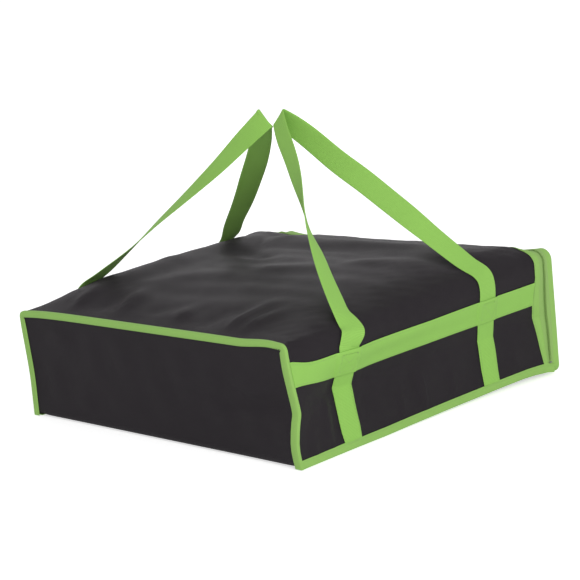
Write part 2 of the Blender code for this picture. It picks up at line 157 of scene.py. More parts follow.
def archPoints(x, v, inset, feet):
    # v runs from the front foot (0) up the wall, over the crown (0.5) and down to the back foot (1);
    # the top is the line between both shoulders, raised by crown * (1 - |2t - 1|^power)
    x, v, inset = np.broadcast_arrays(np.asarray(x, float), v, inset)
    low = bag["wallShare"] + bag["shoulderShare"]
    frontY, frontZ = sideLine(-1, x, inset, feet[0], np.minimum(v, low))
    backY, backZ = sideLine(1, x, inset, feet[1], np.minimum(1 - v, low))
    share = (1 - np.cos(math.pi * np.clip((v - low) / (1 - 2 * low), 0, 1))) / 2
    endY, endZ = sideLine(-1, x, inset, feet[0], low)
    farY, farZ = sideLine(1, x, inset, feet[1], low)
    topY = mix(endY, farY, share)
    topZ = mix(endZ, farZ, share) + grown(bag["crown"], x) * (1 - np.abs(2 * share - 1) ** bag["crownPower"])
    y = np.where(v < low, frontY, np.where(v > 1 - low, backY, topY))
    z = np.where(v < low, frontZ, np.where(v > 1 - low, backZ, topZ))
    return np.stack([x, y, z], -1)


def wallPoints(side, x, z, inset):
    # a point of a side wall at a height; a negative inset lies outside the face
    x, z, inset = np.broadcast_arrays(np.asarray(x, float), z, inset)
    centreY, centreZ, radius = shoulder(side, x, inset)
    rounded = centreY + np.sqrt(np.maximum(radius ** 2 - (z - centreZ) ** 2, 0))
    y = np.where(z > centreZ, rounded, halfWidth(side, x) - inset)
    return np.stack([x, side * y, z], -1)


def lowCorner(side, inset):
    radius = np.maximum(bag["lowRadius"] - inset, bag["leastRadius"])
    return halfWidth(side, bag["doorX"]) - inset - radius, bag["doorClearance"] + inset + radius, radius


def doorPoints(x, inset, archSteps=150, cornerSteps=7, footSteps=30):
    # the door's closed outline: front low corner, arch, back low corner, straight foot; one row a step
    x, inset = np.broadcast_arrays(np.asarray(x, float), inset)
    lines = []
    corners = {side: lowCorner(side, inset) for side in (-1, 1)}
    for step in range(cornerSteps):
        turn = math.pi / 2 * (1 - step / cornerSteps)
        y, z, radius = corners[-1]
        lines.append(np.stack([x, -(y + radius * math.cos(turn)), z - radius * math.sin(turn)], -1))
    feet = (corners[-1][1], corners[1][1])
    for v in np.linspace(0, 1, archSteps):
        lines.append(archPoints(x, v, inset, feet))
    for step in range(1, cornerSteps + 1):
        turn = math.pi / 2 * step / cornerSteps
        y, z, radius = corners[1]
        lines.append(np.stack([x, y + radius * math.cos(turn), z - radius * math.sin(turn)], -1))
    start, end = lines[-1], lines[0]
    for step in range(1, footSteps):
        lines.append(mix(start, end, step / footSteps))
    return np.stack(lines)


# how the soft bag hangs: moves that everything on the body takes alike

# each side wall: places along the bag, and there how far the wall folds in, the fold's height, where the wall
# is back out above it, and how far it stands out from there on
walls = {
    "x": np.array([-212, -150, -100, 104, 183, 208]) * mm,
    "in": {-1: np.array([0, 13, 12.2, 11.3, 12.8, 0]) * mm, 1: np.array([0, 8, 9, 9, 4, 0]) * mm},
    "kink": {-1: np.array([62, 69.5, 68, 66.5, 73, 73]) * mm, 1: np.array([60, 64, 66, 66, 66, 66]) * mm},
    "back": {-1: np.array([97, 97, 100, 118, 123, 123]) * mm,
             1: np.array([110, 112, 114, 116, 118, 118]) * mm},
    "out": {-1: np.array([0, 5, 5, 1, 0, 0]) * mm, 1: np.array([0, 1.2, 1.2, 0.6, 0, 0]) * mm},
    "foot": 9 * mm, "stand": (92 * mm, 112 * mm), "reach": (150 * mm, 202 * mm), "rounding": (0.06, 0.02),
}

# soft upright ridges on the front wall: place along the bag, lowest and highest point, height and width
ridges = (
    (-192, 10, 44, 1.6, 6), (-166, 14, 66, 2.6, 6), (-46, 16, 44, 2.2, 5), (-8, 14, 60, 2.8, 5),
    (42, 16, 46, 2.0, 5), (146, 18, 52, 1.6, 7), (-104, 30, 62, -1.4, 14), (-26, 24, 62, -1.6, 9),
    (80, 24, 60, -1.4, 14),
)
ridgeFade = {"foot": (-8, 10), "head": (-14, 6)}

# the strap at the front's closed end stands a little turned, and the wall under it with it
turned = {
    "x": bag["strapX"][-1], "slope": 0.24, "wide": 22 * mm,
    "from": (3 * mm, 26 * mm), "to": (118 * mm, 138 * mm),
}

# the front's lower edge is pulled up and in towards the mouth: places along the bag, and both moves there
pulled = {
    "x": np.array([-80, 0, 80, 120, 160, 180, 200, 222]) * mm,
    "up": np.array([0, 1.4, 3.4, 4.9, 6.4, 6.2, 5.0, 1.0]) * mm,
    "in": np.array([0, 2, 4, 5, 5, 4.5, 3, 0]) * mm,
    "height": (8 * mm, 64 * mm), "reach": (150 * mm, 212 * mm),
}

# the closed end leans, and its near edge bends in at a kink: heights, and how far the edge stands in at each
closedEnd = {
    "z": np.array([0, 10, 20, 30, 42, 52, 58, 62, 68, 80, 100, 128]) * mm,
    "in": np.array([-0.4, -2.8, -4.6, -5.0, -3.4, -0.8, 1.6, 2.4, 2.4, 1.9, 1.2, 0]) * mm,
    "reach": 105 * mm, "kink": 60 * mm, "top": 128 * mm, "wide": 55 * mm, "farthest": 300 * mm,
    "foot": 6 * mm,
    "rounding": (0.05, 0.02), "high": (36 * mm, 136 * mm), "lean": 4.6 * mm, "out": 1.3 * mm,
    "shift": 6.0 * mm, "shiftFade": (-120 * mm, 200 * mm), "farShiftShare": 0.3,
}

# behind the near end's upper corner the sleeve falls away, and the corner itself is lifted
nearCorner = {
    "hollow": 4.5 * mm, "hollowFrom": (-216 * mm, -208 * mm), "hollowTo": (-206 * mm, -180 * mm),
    "hollowLow": (113 * mm, 121 * mm), "hollowHigh": (126 * mm, 138 * mm),
    "hollowReach": (170 * mm, 205 * mm), "lift": 4.0 * mm, "liftTo": (-216 * mm, -160 * mm),
    "liftHigh": (104 * mm, 127 * mm), "reach": (150 * mm, 205 * mm),
}

# the front of the gusset narrows towards its foot: heights, and how far the seam moves to the door
gusset = {
    "z": np.array([0, 9, 32, 56, 70, 78, 90, 104]) * mm,
    "in": np.array([0, 12.5, 9.5, 7.0, 5.5, 4.0, 1.5, 0]) * mm,
    "from": (120 * mm, 184 * mm), "to": (182 * mm, 213 * mm), "reach": (150 * mm, 205 * mm),
}

# the stuffed top: a ridge inside the back shoulder, a field before the mouth that is a little higher away from
# the front shoulder, a bump at the far corner, and a door edge that sags and leans
top = {
    "high": (108 * mm, 134 * mm), "ridge": 10 * mm, "ridgeFrom": (-214 * mm, -112 * mm),
    "ridgeTo": (150 * mm, 186 * mm), "ridgeReach": (115 * mm, 185 * mm),
    "field": 8.5 * mm, "fieldFrom": (70 * mm, 125 * mm), "seam": (183 * mm, 170 * mm), "drop": 18 * mm,
    "behind": (-207 * mm, -165 * mm), "behindShare": 1.16, "fieldFront": (-219 * mm, -188 * mm),
    "fieldBack": (110 * mm, 198 * mm),
    "corner": 5 * mm, "cornerFrom": (150 * mm, 180 * mm), "cornerTo": (182 * mm, 194 * mm),
    "cornerPlace": 190 * mm, "cornerWide": 34 * mm,
    "door": (188 * mm, 214 * mm), "doorSag": 2.8 * mm, "sagPower": 6, "doorLean": 2.7 * mm,
    "leanHeight": 140 * mm,
}

# creases on the top: where each starts and ends, its height and its width
creases = (
    ((-226, 140), (-132, 168), 2.6, 9), ((-226, 96), (-150, 122), -2.0, 13),
    ((-226, 54), (-128, 100), 2.8, 10), ((-226, 8), (-170, 26), -1.6, 12),
    ((-226, -42), (-156, -16), 2.4, 9), ((-226, -84), (-160, -70), -2.0, 13),
    ((-226, -122), (-120, -110), 2.6, 8), ((-212, -140), (-134, -142), 2.0, 8),
    ((20, 60), (66, 150), -3.5, 20), ((-120, 118), (-44, 12), 1.6, 26),
    ((-44, 12), (16, -78), 1.6, 26), ((16, -78), (92, -178), 1.8, 24),
)
creased = {
    "strength": 1.9, "startShares": (-0.15, 0.12), "endShares": (0.55, 1.1), "widthShares": (0.7, 0.8),
    "height": (112 * mm, 132 * mm), "to": (150 * mm, 190 * mm), "from": (5 * mm, 42 * mm),
}


def alongLine(first, second, start, end):
    # how far a place lies along a line between two points in mm, as a share, and its distance from the line
    start, reach = np.array(start) * mm, np.subtract(end, start) * mm
    length = np.linalg.norm(reach)
    first, second = first - start[0], second - start[1]
    along = (first * reach[0] + second * reach[1]) / length ** 2
    return along, (first * reach[1] - second * reach[0]) / length


def creaseHeight(x, y):
    # a bell across each crease's line, faded at its ends
    total = np.zeros(np.shape(x))
    least, gain = creased["widthShares"]
    for start, end, height, width in creases:
        along, across = alongLine(x, y, start, end)
        fade = within(along, creased["startShares"], creased["endShares"])
        total = total + height * mm * fade * bell(across, width * mm * (least + gain * np.clip(along, 0, 1)))
    return creased["strength"] * total


def wallMove(x, y, z):
    # both walls fold in along a kink and stand out above it; the front one has ridges and a turned strap
    moveY = 0
    for side in (-1, 1):
        sizes = (np.interp(x, walls["x"], walls[key][side]) for key in ("in", "kink", "back", "out"))
        depth, kink, back, out = sizes
        rise = (z - walls["foot"]) / (kink - walls["foot"])
        fall = (back - z) / (back - kink)
        inward = depth * tent(rise, fall, walls["rounding"]) - out * ease(*walls["stand"], z)
        moveY = moveY - side * ease(*walls["reach"], side * y) * inward
    front = ease(*walls["reach"], -y)
    for place, low, high, height, width in ridges:
        foot = [(low + fade) * mm for fade in ridgeFade["foot"]]
        head = [(high + fade) * mm for fade in ridgeFade["head"]]
        moveY = moveY - front * height * mm * within(z, foot, head) * bell(x - place * mm, width * mm)
    offset = x - turned["x"]
    turn = offset * bell(offset, turned["wide"]) * within(z, turned["from"], turned["to"])
    return moveY - turned["slope"] * turn * front


def closedEndMove(x, y, z):
    # the end leans to the outside and the back, and its near edge follows the kink
    end = closedEnd
    rear = 1 - ease(bag["rearX"], bag["rearX"] + end["reach"], x)
    near = bell(np.minimum(y + bag["half"], end["farthest"]), end["wide"])
    fold = tent(z / end["kink"], (end["top"] - z) / (end["top"] - end["kink"]), end["rounding"])
    fold = fold * ease(0, end["foot"], z)
    high = ease(*end["high"], z)
    shift = end["shift"] * high * mix(1, end["farShiftShare"], ease(*end["shiftFade"], y))
    inward = np.interp(z, end["z"], end["in"])
    return rear * (inward * near - end["lean"] * high), rear * (shift - end["out"] * fold * near)


def topMove(x, y, z):
    # creases, then the stuffing's ridge, field and corner, then the sagging door edge
    onTop = ease(*creased["height"], z) * (1 - ease(*creased["to"], x))
    onTop = onTop * ease(*creased["from"], x - bag["rearX"])
    high = ease(*top["high"], z)
    ridge = within(x, top["ridgeFrom"], top["ridgeTo"]) * ease(*top["ridgeReach"], y)
    # the field drops to the mouth's seam, except at the front shoulder, where the seam rises with it
    behind = ease(*top["behind"], y)
    field = ease(*top["fieldFrom"], x) * (1 - ease(0, top["drop"], x - mix(*top["seam"], behind)))
    field = field * within(y, top["fieldFront"], top["fieldBack"]) * mix(1, top["behindShare"], behind)
    corner = within(x, top["cornerFrom"], top["cornerTo"]) * bell(y - top["cornerPlace"], top["cornerWide"])
    raised = np.maximum(top["ridge"] * ridge, top["field"] * field) + top["corner"] * corner
    atDoor = ease(*top["door"], x)
    sag = atDoor * top["doorSag"] * (1 - np.clip(np.abs(y / bag["half"]), 0, 1) ** top["sagPower"])
    lean = -atDoor * top["doorLean"] * (y / bag["half"]) * z / top["leanHeight"]
    return lean, onTop * creaseHeight(x, y) + high * (raised - sag)


def frontMove(x, y, z):
    # the near corner's hollow and lift, the narrowed gusset and the pulled lower edge
    near = nearCorner
    hollow = within(x, near["hollowFrom"], near["hollowTo"])
    hollow = hollow * within(z, near["hollowLow"], near["hollowHigh"])
    lift = near["lift"] * (1 - ease(*near["liftTo"], x)) * ease(*near["liftHigh"], z)
    lift = lift * ease(*near["reach"], -y)
    low = (1 - ease(*pulled["height"], z)) * ease(*pulled["reach"], -y)
    seam = within(x, gusset["from"], gusset["to"]) * ease(*gusset["reach"], -y)
    moveX = seam * np.interp(z, gusset["z"], gusset["in"])
    moveY = near["hollow"] * hollow * ease(*near["hollowReach"], -y)
    moveY = moveY + low * np.interp(x, pulled["x"], pulled["in"])
    return moveX, moveY, lift + low * np.interp(x, pulled["x"], pulled["up"])


def slump(points):
    x, y, z = points[..., 0], points[..., 1], points[..., 2]
    endX, endY = closedEndMove(x, y, z)
    topY, topZ = topMove(x, y, z)
    frontX, frontY, frontZ = frontMove(x, y, z)
    return points + np.stack([endX + frontX, wallMove(x, y, z) + endY + topY + frontY, topZ + frontZ], -1)


# putting meshes together

def gridFaces(rows, columns, wrap=False):
    # quads between neighbours of a grid of points, with each corner's place in the grid
    i, j = np.mgrid[0:rows - 1, 0:columns if wrap else columns - 1]
    after = (j + 1) % columns
    start, end = i * columns, (i + 1) * columns
    quads = np.stack([start + j, start + after, end + after, end + j], -1)
    corners = ((i, j), (i, j + 1), (i + 1, j + 1), (i + 1, j))
    places = np.stack([np.stack(corner, -1) for corner in corners], -2)
    return quads.reshape(-1, 4), places.reshape(-1, 4, 2)


def travelled(line):
    # the distance covered along a line of points
    return np.r_[0, np.cumsum(np.linalg.norm(np.diff(line, axis=0), axis=1))]


def signedVolume(points, quads):
    # a sixth of the sum of a . (b x c) over both triangles of every quad
    a, b, c, d = (points[quads[:, corner]] for corner in range(4))
    return (np.einsum("ij,ij->i", a, np.cross(b, c)) + np.einsum("ij,ij->i", a, np.cross(c, d))).sum() / 6


def addPiece(name, points, quads, mapping, finish, caps=(), sharp=None):
    # a mesh object from points, quads with their corners' map places, and any flat end faces
    if signedVolume(points, quads) < 0:
        quads, mapping = quads[:, ::-1], mapping[:, ::-1]
        caps = [cap[::-1] for cap in caps]
    mesh = bpy.data.meshes.new(name)
    mesh.from_pydata(points.tolist(), [], quads.tolist() + [list(cap) for cap in caps])
    layer = mesh.uv_layers.new(name="clothMap")
    flat = np.zeros((len(mesh.loops), 2))
    flat[:quads.size] = mapping.reshape(-1, 2)
    layer.data.foreach_set("uv", flat.ravel())
    mesh.validate()
    mesh.shade_smooth()
    if sharp is not None:
        mesh.set_sharp_from_angle(angle=sharp * degree)
    mesh.materials.append(finish)
    piece = bpy.data.objects.new(name, mesh)
    bpy.context.scene.collection.objects.link(piece)
    return piece


def shellPiece(name, outer, inner, alongs, acrosses, finish, sharp=None):
    # a closed sheet with thickness: an outer and an inner grid of points, joined round the border
    rows, columns = outer.shape[:2]
    quads, places = gridFaces(rows, columns)
    offset = rows * columns
    index = np.arange(offset).reshape(rows, columns)
    border = np.concatenate([index[0, :], index[1:, -1], index[-1, -2::-1], index[-2:0:-1, 0]])
    after = np.roll(border, -1)
    rim = np.stack([after, border, border + offset, after + offset], -1)
    grid = np.stack(np.unravel_index(rim % offset, (rows, columns)), -1)
    allQuads = np.concatenate([quads, quads[:, ::-1] + offset, rim])
    allPlaces = np.concatenate([places, places[:, ::-1], grid])
    mapping = np.stack([alongs[allPlaces[..., 0]], acrosses[allPlaces[..., 1]]], -1)
    points = np.concatenate([outer.reshape(-1, 3), inner.reshape(-1, 3)])
    return addPiece(name, points, allQuads, mapping, finish, sharp=sharp)


def tubePiece(name, rings, finish, closed=False, sharp=40):
    # a closed profile carried along a path: one ring of points a step, and a face over each open end
    steps, count = rings.shape[:2]
    if closed:
        rings = np.concatenate([rings, rings[:1]])
    travel = travelled(rings.mean(1))
    middle = rings[steps // 2]
    around = travelled(np.concatenate([middle, middle[:1]]))
    quads, places = gridFaces(len(rings), count, wrap=True)
    mapping = np.stack([travel[places[..., 0]], around[places[..., 1]]], -1)
    if closed:
        quads = quads % (steps * count)
        return addPiece(name, rings[:steps].reshape(-1, 3), quads, mapping, finish, sharp=sharp)
    caps = [np.arange(count)[::-1], np.arange(count) + (steps - 1) * count]
    return addPiece(name, rings.reshape(-1, 3), quads, mapping, finish, caps=caps, sharp=sharp)


def tapeProfile(corners, thickness, radius=0.8 * mm, steps=4, longest=2.4 * mm):
    # the closed outline of a thin tape that follows a line of corners, with its bends and ends rounded
    corners = np.array(corners, float)
    line = [corners[0]]
    for before, here, after in zip(corners[:-2], corners[1:-1], corners[2:]):
        reach = min(radius, np.linalg.norm(here - before) / 2, np.linalg.norm(after - here) / 2)
        start, end = here + unit(before - here) * reach, here + unit(after - here) * reach
        for share in np.linspace(0, 1, steps):
            line.append(mix(mix(start, here, share), mix(here, end, share), share))
    line.append(corners[-1])
    dense = [line[0]]
    for start, end in zip(line[:-1], line[1:]):
        parts = max(1, int(np.linalg.norm(end - start) / longest))
        dense += [mix(start, end, part / parts) for part in range(1, parts + 1)]
    line = np.array(dense)
    tangent = unit(np.gradient(line, axis=0))
    normal = np.stack([-tangent[:, 1], tangent[:, 0]], -1) * thickness / 2
    turns = np.linspace(90, -90, 5)[1:-1, None] * degree
    ahead = tangent * thickness / 2
    endCap = line[-1] + ahead[-1] * np.cos(turns) + normal[-1] * np.sin(turns)
    startCap = line[0] - ahead[0] * np.cos(turns) - normal[0] * np.sin(turns)
    return np.concatenate([line + normal, endCap, (line - normal)[::-1], startCap])


def dress(piece, body, slot, *nodes):
    # the piece takes its body, and stands for the solids that are named
    if nodes:
        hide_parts(*nodes)
    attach(piece, body)
    return piece


# materials

def newGroup(name, inputs, outputs):
    group = bpy.data.node_groups.new(name, "ShaderNodeTree")
    for label, kind, value in inputs:
        socket = group.interface.new_socket(name=label, in_out="INPUT", socket_type=kind)
        if value is not None:
            socket.default_value = value
    for label, kind in outputs:
        group.interface.new_socket(name=label, in_out="OUTPUT", socket_type=kind)
    return group, group.nodes.new("NodeGroupInput"), group.nodes.new("NodeGroupOutput")


def feed(tree, socket, value):
    # a socket takes either another node's output or a plain value
    if hasattr(value, "is_linked"):
        tree.links.new(value, socket)
    elif value is not None:
        socket.default_value = value


def fill(tree, node, values):
    for label, value in values.items():
        feed(tree, node.inputs[label], value)
    return node


def maths(tree, operation, first, second=None, third=None):
    node = tree.nodes.new("ShaderNodeMath")
    node.operation = operation
    for socket, value in zip(node.inputs, (first, second, third)):
        feed(tree, socket, value)
    return node.outputs[0]


def noise(tree, vector, scale, detail=3, roughness=0.55):
    values = {"Vector": vector, "Scale": scale, "Detail": detail, "Roughness": roughness}
    return fill(tree, tree.nodes.new("ShaderNodeTexNoise"), values).outputs["Fac"]


def makeWeaveGroup():
    # raised points on a small lattice, turned by 45 degrees, and loose fibres over them
    inputs = [("Place", "NodeSocketVector", None), ("Pitch", "NodeSocketFloat", 1.5 * mm)]
    group, given, result = newGroup("clothGrain", inputs, [("Height", "NodeSocketFloat")])
    split = group.nodes.new("ShaderNodeSeparateXYZ")
    group.links.new(given.outputs["Place"], split.inputs[0])
    rate = maths(group, "DIVIDE", math.pi, given.outputs["Pitch"])
    plus = maths(group, "MULTIPLY", maths(group, "ADD", split.outputs[0], split.outputs[1]), rate)
    minus = maths(group, "MULTIPLY", maths(group, "SUBTRACT", split.outputs[0], split.outputs[1]), rate)
    dots = maths(group, "MULTIPLY", maths(group, "SINE", plus), maths(group, "SINE", minus))
    dots = maths(group, "POWER", maths(group, "ABSOLUTE", dots), 0.7)
    fibre = noise(group, given.outputs["Place"], maths(group, "DIVIDE", 1.7, given.outputs["Pitch"]), 4, 0.7)
    height = maths(group, "ADD", maths(group, "MULTIPLY", dots, 0.7), maths(group, "MULTIPLY", fibre, 0.5))
    group.links.new(height, result.inputs["Height"])
    return group


def makeRibGroup():
    # ribs across a tape, crossed by finer warp threads; the PaintedShade output is painted shade, darker
    # between the ribs
    inputs = [("Place", "NodeSocketVector", None), ("Rib", "NodeSocketFloat", 1.5 * mm),
              ("Thread", "NodeSocketFloat", 0.9 * mm)]
    outputs = [("Height", "NodeSocketFloat"), ("PaintedShade", "NodeSocketFloat")]
    group, given, result = newGroup("tapeRibs", inputs, outputs)
    split = group.nodes.new("ShaderNodeSeparateXYZ")
    group.links.new(given.outputs["Place"], split.inputs[0])
    waves = []
    for place, label in zip(split.outputs, ("Rib", "Thread")):
        turn = maths(group, "MULTIPLY", place, maths(group, "DIVIDE", 2 * math.pi, given.outputs[label]))
        waves.append(maths(group, "MULTIPLY_ADD", maths(group, "SINE", turn), 0.5, 0.5))
    rib, thread = maths(group, "POWER", waves[0], 0.6), maths(group, "MULTIPLY_ADD", waves[1], 0.35, 0.65)
    height = maths(group, "MULTIPLY", rib, thread)
    group.links.new(height, result.inputs["Height"])
    group.links.new(maths(group, "MULTIPLY_ADD", height, 0.35, 0.65), result.inputs["PaintedShade"])
    return group


def makeMottleGroup():
    # uneven dye: a slow and a quicker noise, as a factor about 1
    inputs = [("Place", "NodeSocketVector", None), ("Scale", "NodeSocketFloat", 9.0),
              ("Amount", "NodeSocketFloat", 0.12)]
    group, given, result = newGroup("unevenDye", inputs, [("Factor", "NodeSocketFloat")])
    slow = noise(group, given.outputs["Place"], given.outputs["Scale"], 3)
    quick = noise(group, given.outputs["Place"], maths(group, "MULTIPLY", given.outputs["Scale"], 14.0), 2)
    both = maths(group, "ADD", maths(group, "MULTIPLY", slow, 0.7), maths(group, "MULTIPLY", quick, 0.3))
    swing = maths(group, "MULTIPLY", maths(group, "SUBTRACT", both, 0.5), given.outputs["Amount"])
    group.links.new(maths(group, "ADD", maths(group, "MULTIPLY", swing, 4.0), 1.0), result.inputs["Factor"])
    return group


groups = {"grain": makeWeaveGroup(), "ribs": makeRibGroup(), "mottle": makeMottleGroup()}


def placeGroup(tree, kind, vector, **values):
    node = tree.nodes.new("ShaderNodeGroup")
    node.node_tree = groups[kind]
    return fill(tree, node, {"Place": vector, **values})


def startMaterial(name):
    material = bpy.data.materials.new(name)
    material.use_nodes = True
    tree = material.node_tree
    place = tree.nodes.new("ShaderNodeTexCoord")
    return material, tree, tree.nodes["Principled BSDF"], place


def tinted(tree, factor, colour):
    # the colour times a factor
    node = tree.nodes.new("ShaderNodeMix")
    node.data_type = "RGBA"
    node.blend_type = "MULTIPLY"
    return fill(tree, node, {"Factor": 1.0, "A": (*colour, 1), "B": factor}).outputs["Result"]


def bumped(tree, shader, height, distance):
    bump = fill(tree, tree.nodes.new("ShaderNodeBump"), {"Distance": distance, "Height": height})
    tree.links.new(bump.outputs["Normal"], shader.inputs["Normal"])


def clothMaterial(name, colour):
    # black cloth: painted shade darkens it between the raised points, with a faint gloss towards violet
    material, tree, shader, place = startMaterial(name)
    grain = placeGroup(tree, "grain", place.outputs["UV"], Pitch=1.5 * mm)
    dye = placeGroup(tree, "mottle", place.outputs["Object"], Scale=7.0, Amount=0.08)
    # the grain's height darkens the colour in its hollows: painted shade; the uneven dye is the cloth's own
    # tone
    shade = maths(tree, "MULTIPLY_ADD", grain.outputs["Height"], 0.5, 0.72)
    shade = maths(tree, "MULTIPLY", dye.outputs["Factor"], shade)
    fill(tree, shader, {
        "Base Color": tinted(tree, shade, colour), "Roughness": 0.48,
        "Sheen Weight": 0.03, "Sheen Roughness": 0.32, "Sheen Tint": (1.0, 0.88, 0.98, 1),
        "Specular IOR Level": 0.06, "Specular Tint": (1.0, 0.76, 0.95, 1),
    })
    bumped(tree, shader, grain.outputs["Height"], 0.22 * mm)
    return material


def webMaterial(name, colour, rib=1.5 * mm, thread=0.9 * mm, depth=0.22 * mm):
    # ribbed webbing or tape, with painted shade darkening it between the ribs
    material, tree, shader, place = startMaterial(name)
    ribs = placeGroup(tree, "ribs", place.outputs["UV"], Rib=rib, Thread=thread)
    dye = placeGroup(tree, "mottle", place.outputs["Object"], Scale=14.0, Amount=0.035)
    # painted shade between the ribs, times the webbing's own uneven dye
    shade = maths(tree, "MULTIPLY_ADD", ribs.outputs["PaintedShade"], 0.5, 0.56)
    shade = maths(tree, "MULTIPLY", dye.outputs["Factor"], shade)
    fill(tree, shader, {"Base Color": tinted(tree, shade, colour), "Roughness": 0.7, "Sheen Weight": 0.05,
                        "Specular IOR Level": 0.25})
    bumped(tree, shader, ribs.outputs["Height"], depth)
    return material


def silverMaterial():
    material, tree, shader, place = startMaterial("silverLining")
    crumple = noise(tree, place.outputs["Object"], 55.0, 5, 0.6)
    fine = noise(tree, place.outputs["Object"], 420.0, 2)
    dye = placeGroup(tree, "mottle", place.outputs["Object"], Scale=10.0, Amount=0.05)
    colour = tinted(tree, dye.outputs["Factor"], (0.55, 0.56, 0.57))
    rough = maths(tree, "MULTIPLY_ADD", fine, 0.2, 0.3)
    fill(tree, shader, {"Base Color": colour, "Roughness": rough, "Metallic": 0.75})
    bumped(tree, shader, maths(tree, "ADD", crumple, maths(tree, "MULTIPLY", fine, 0.15)), 2.2 * mm)
    return material


def metalMaterial():
    material, tree, shader, place = startMaterial("zipMetal")
    values = {"Scale": (1, 1, 0.08), "Vector": place.outputs["Object"]}
    streak = fill(tree, tree.nodes.new("ShaderNodeMapping"), values)
    brushed = noise(tree, streak.outputs["Vector"], 2600.0, 2)
    dye = placeGroup(tree, "mottle", place.outputs["Object"], Scale=90.0, Amount=0.1)
    colour = tinted(tree, dye.outputs["Factor"], (0.36, 0.37, 0.36))
    rough = maths(tree, "MULTIPLY_ADD", brushed, 0.22, 0.2)
    fill(tree, shader, {"Base Color": colour, "Roughness": rough, "Metallic": 1.0})
    bumped(tree, shader, brushed, 0.04 * mm)
    return material


def threadMaterial():
    material, tree, shader, place = startMaterial("greenThread")
    ply = noise(tree, place.outputs["Object"], 2400.0, 2)
    # the colour follows the ply's bump, darker where it is low: painted shade in its hollows
    shade = maths(tree, "MULTIPLY_ADD", ply, 0.5, 0.75)
    colour = tinted(tree, shade, (0.26, 0.47, 0.11))
    fill(tree, shader, {"Base Color": colour, "Roughness": 0.55, "Sheen Weight": 0.2})
    bumped(tree, shader, ply, 0.1 * mm)
    return material


def coilMaterial():
    material, tree, shader, place = startMaterial("zipCoil")
    dye = placeGroup(tree, "mottle", place.outputs["Object"], Scale=60.0, Amount=0.08)
    colour = tinted(tree, dye.outputs["Factor"], (0.27, 0.44, 0.12))
    rough = maths(tree, "MULTIPLY_ADD", dye.outputs["Factor"], 0.1, 0.28)
    fill(tree, shader, {"Base Color": colour, "Roughness": rough, "Coat Weight": 0.15})
    return material


finishes = {
    "cloth": clothMaterial("blackCloth", (0.0262, 0.0234, 0.0262)),
    "web": webMaterial("greenWebbing", (0.305, 0.60, 0.112)),
    "binding": webMaterial("greenBinding", (0.30, 0.545, 0.125), rib=1.1 * mm, thread=0.8 * mm,
                           depth=0.12 * mm),
    "tape": webMaterial("zipTape", (0.30, 0.50, 0.14), rib=0.9 * mm, thread=0.7 * mm, depth=0.1 * mm),
    "silver": silverMaterial(), "metal": metalMaterial(), "thread": threadMaterial(), "coil": coilMaterial(),
}
print("materials made")


# the sleeve: both walls and the crowned top

sleeve = {
    "alongSteps": 150, "archSteps": 190, "wallStepShare": 0.33, "cloth": 0.8 * mm, "bandPlace": 101 * mm,
    # two sets of wrinkles: pitch, seed and height
    "wrinkles": ((62 * mm, 11, 0.55 * mm), (24.8 * mm, 5, 0.165 * mm)),
    # the wrinkles fade in over these distances from what is sewn down
    "fromRear": (10 * mm, 26 * mm), "fromMouth": (2 * mm, 16 * mm), "fromFloor": (10 * mm, 24 * mm),
    "fromBand": (16 * mm, 28 * mm), "fromStrap": (14 * mm, 26 * mm), "strapTop": 120 * mm,
}


def archParameters(count):
    # more points on the walls and shoulders than across the top
    low = bag["wallShare"] + bag["shoulderShare"]
    sideCount = int(count * sleeve["wallStepShare"])
    return np.concatenate([np.linspace(0, low, sideCount, endpoint=False),
                           np.linspace(low, 1 - low, count - 2 * sideCount, endpoint=False),
                           np.linspace(1 - low, 1, sideCount)])


def outwardNormals(grid):
    normals = unit(np.cross(np.gradient(grid, axis=0), np.gradient(grid, axis=1)))
    middle = grid.mean((0, 1))
    return normals * np.sign(np.einsum("ijk,ijk->ij", normals, grid - middle).sum())


def makeSleeve():
    x = mix(bag["rearX"], bag["sleeveEndX"], np.linspace(0, 1, sleeve["alongSteps"]))[:, None]
    v = archParameters(sleeve["archSteps"])[None, :]
    rest = archPoints(x, v, 0, (bag["trayLift"], bag["trayLift"]))
    travel = travelled(rest[len(rest) // 2])
    outer = slump(rest)
    normals = outwardNormals(outer)
    # wrinkles fade out under the bindings, bands and straps
    height = rest[..., 2]
    onWall = (v < bag["wallShare"]) | (v > 1 - bag["wallShare"])
    clear = ease(*sleeve["fromRear"], x - bag["rearX"]) * ease(*sleeve["fromMouth"], bag["mouthX"] - x)
    upWall = ease(*sleeve["fromFloor"], height)
    upWall = upWall * ease(*sleeve["fromBand"], np.abs(height - sleeve["bandPlace"]))
    clear = clear * np.where(onWall, upWall, 1)
    for place in bag["strapX"].values():
        beside = ease(*sleeve["fromStrap"], np.abs(x - place))
        clear = clear * np.where(height < sleeve["strapTop"], beside, 1)
    wrinkles = sum(ripple(x, travel[None, :], pitch, seed) * size for pitch, seed, size in sleeve["wrinkles"])
    outer = outer + normals * (clear * wrinkles)[..., None]
    inner = outer - normals * sleeve["cloth"]
    piece = shellPiece("sleeve_cloth", outer, inner, x[:, 0], travel, finishes["cloth"])
    return dress(piece, "body", "black_fabric", "outer_sleeve")


makeSleeve()

liner = {
    "alongSteps": 70, "archSteps": 120, "under": 2.5 * mm, "gap": 0.3 * mm, "fill": 0.3, "pitch": 34 * mm,
    "quilt": (0.72 * mm, 0.45 * mm), "seed": 23,
    "fromMouth": (8 * mm, 22 * mm), "fromRear": (6 * mm, 20 * mm),
}


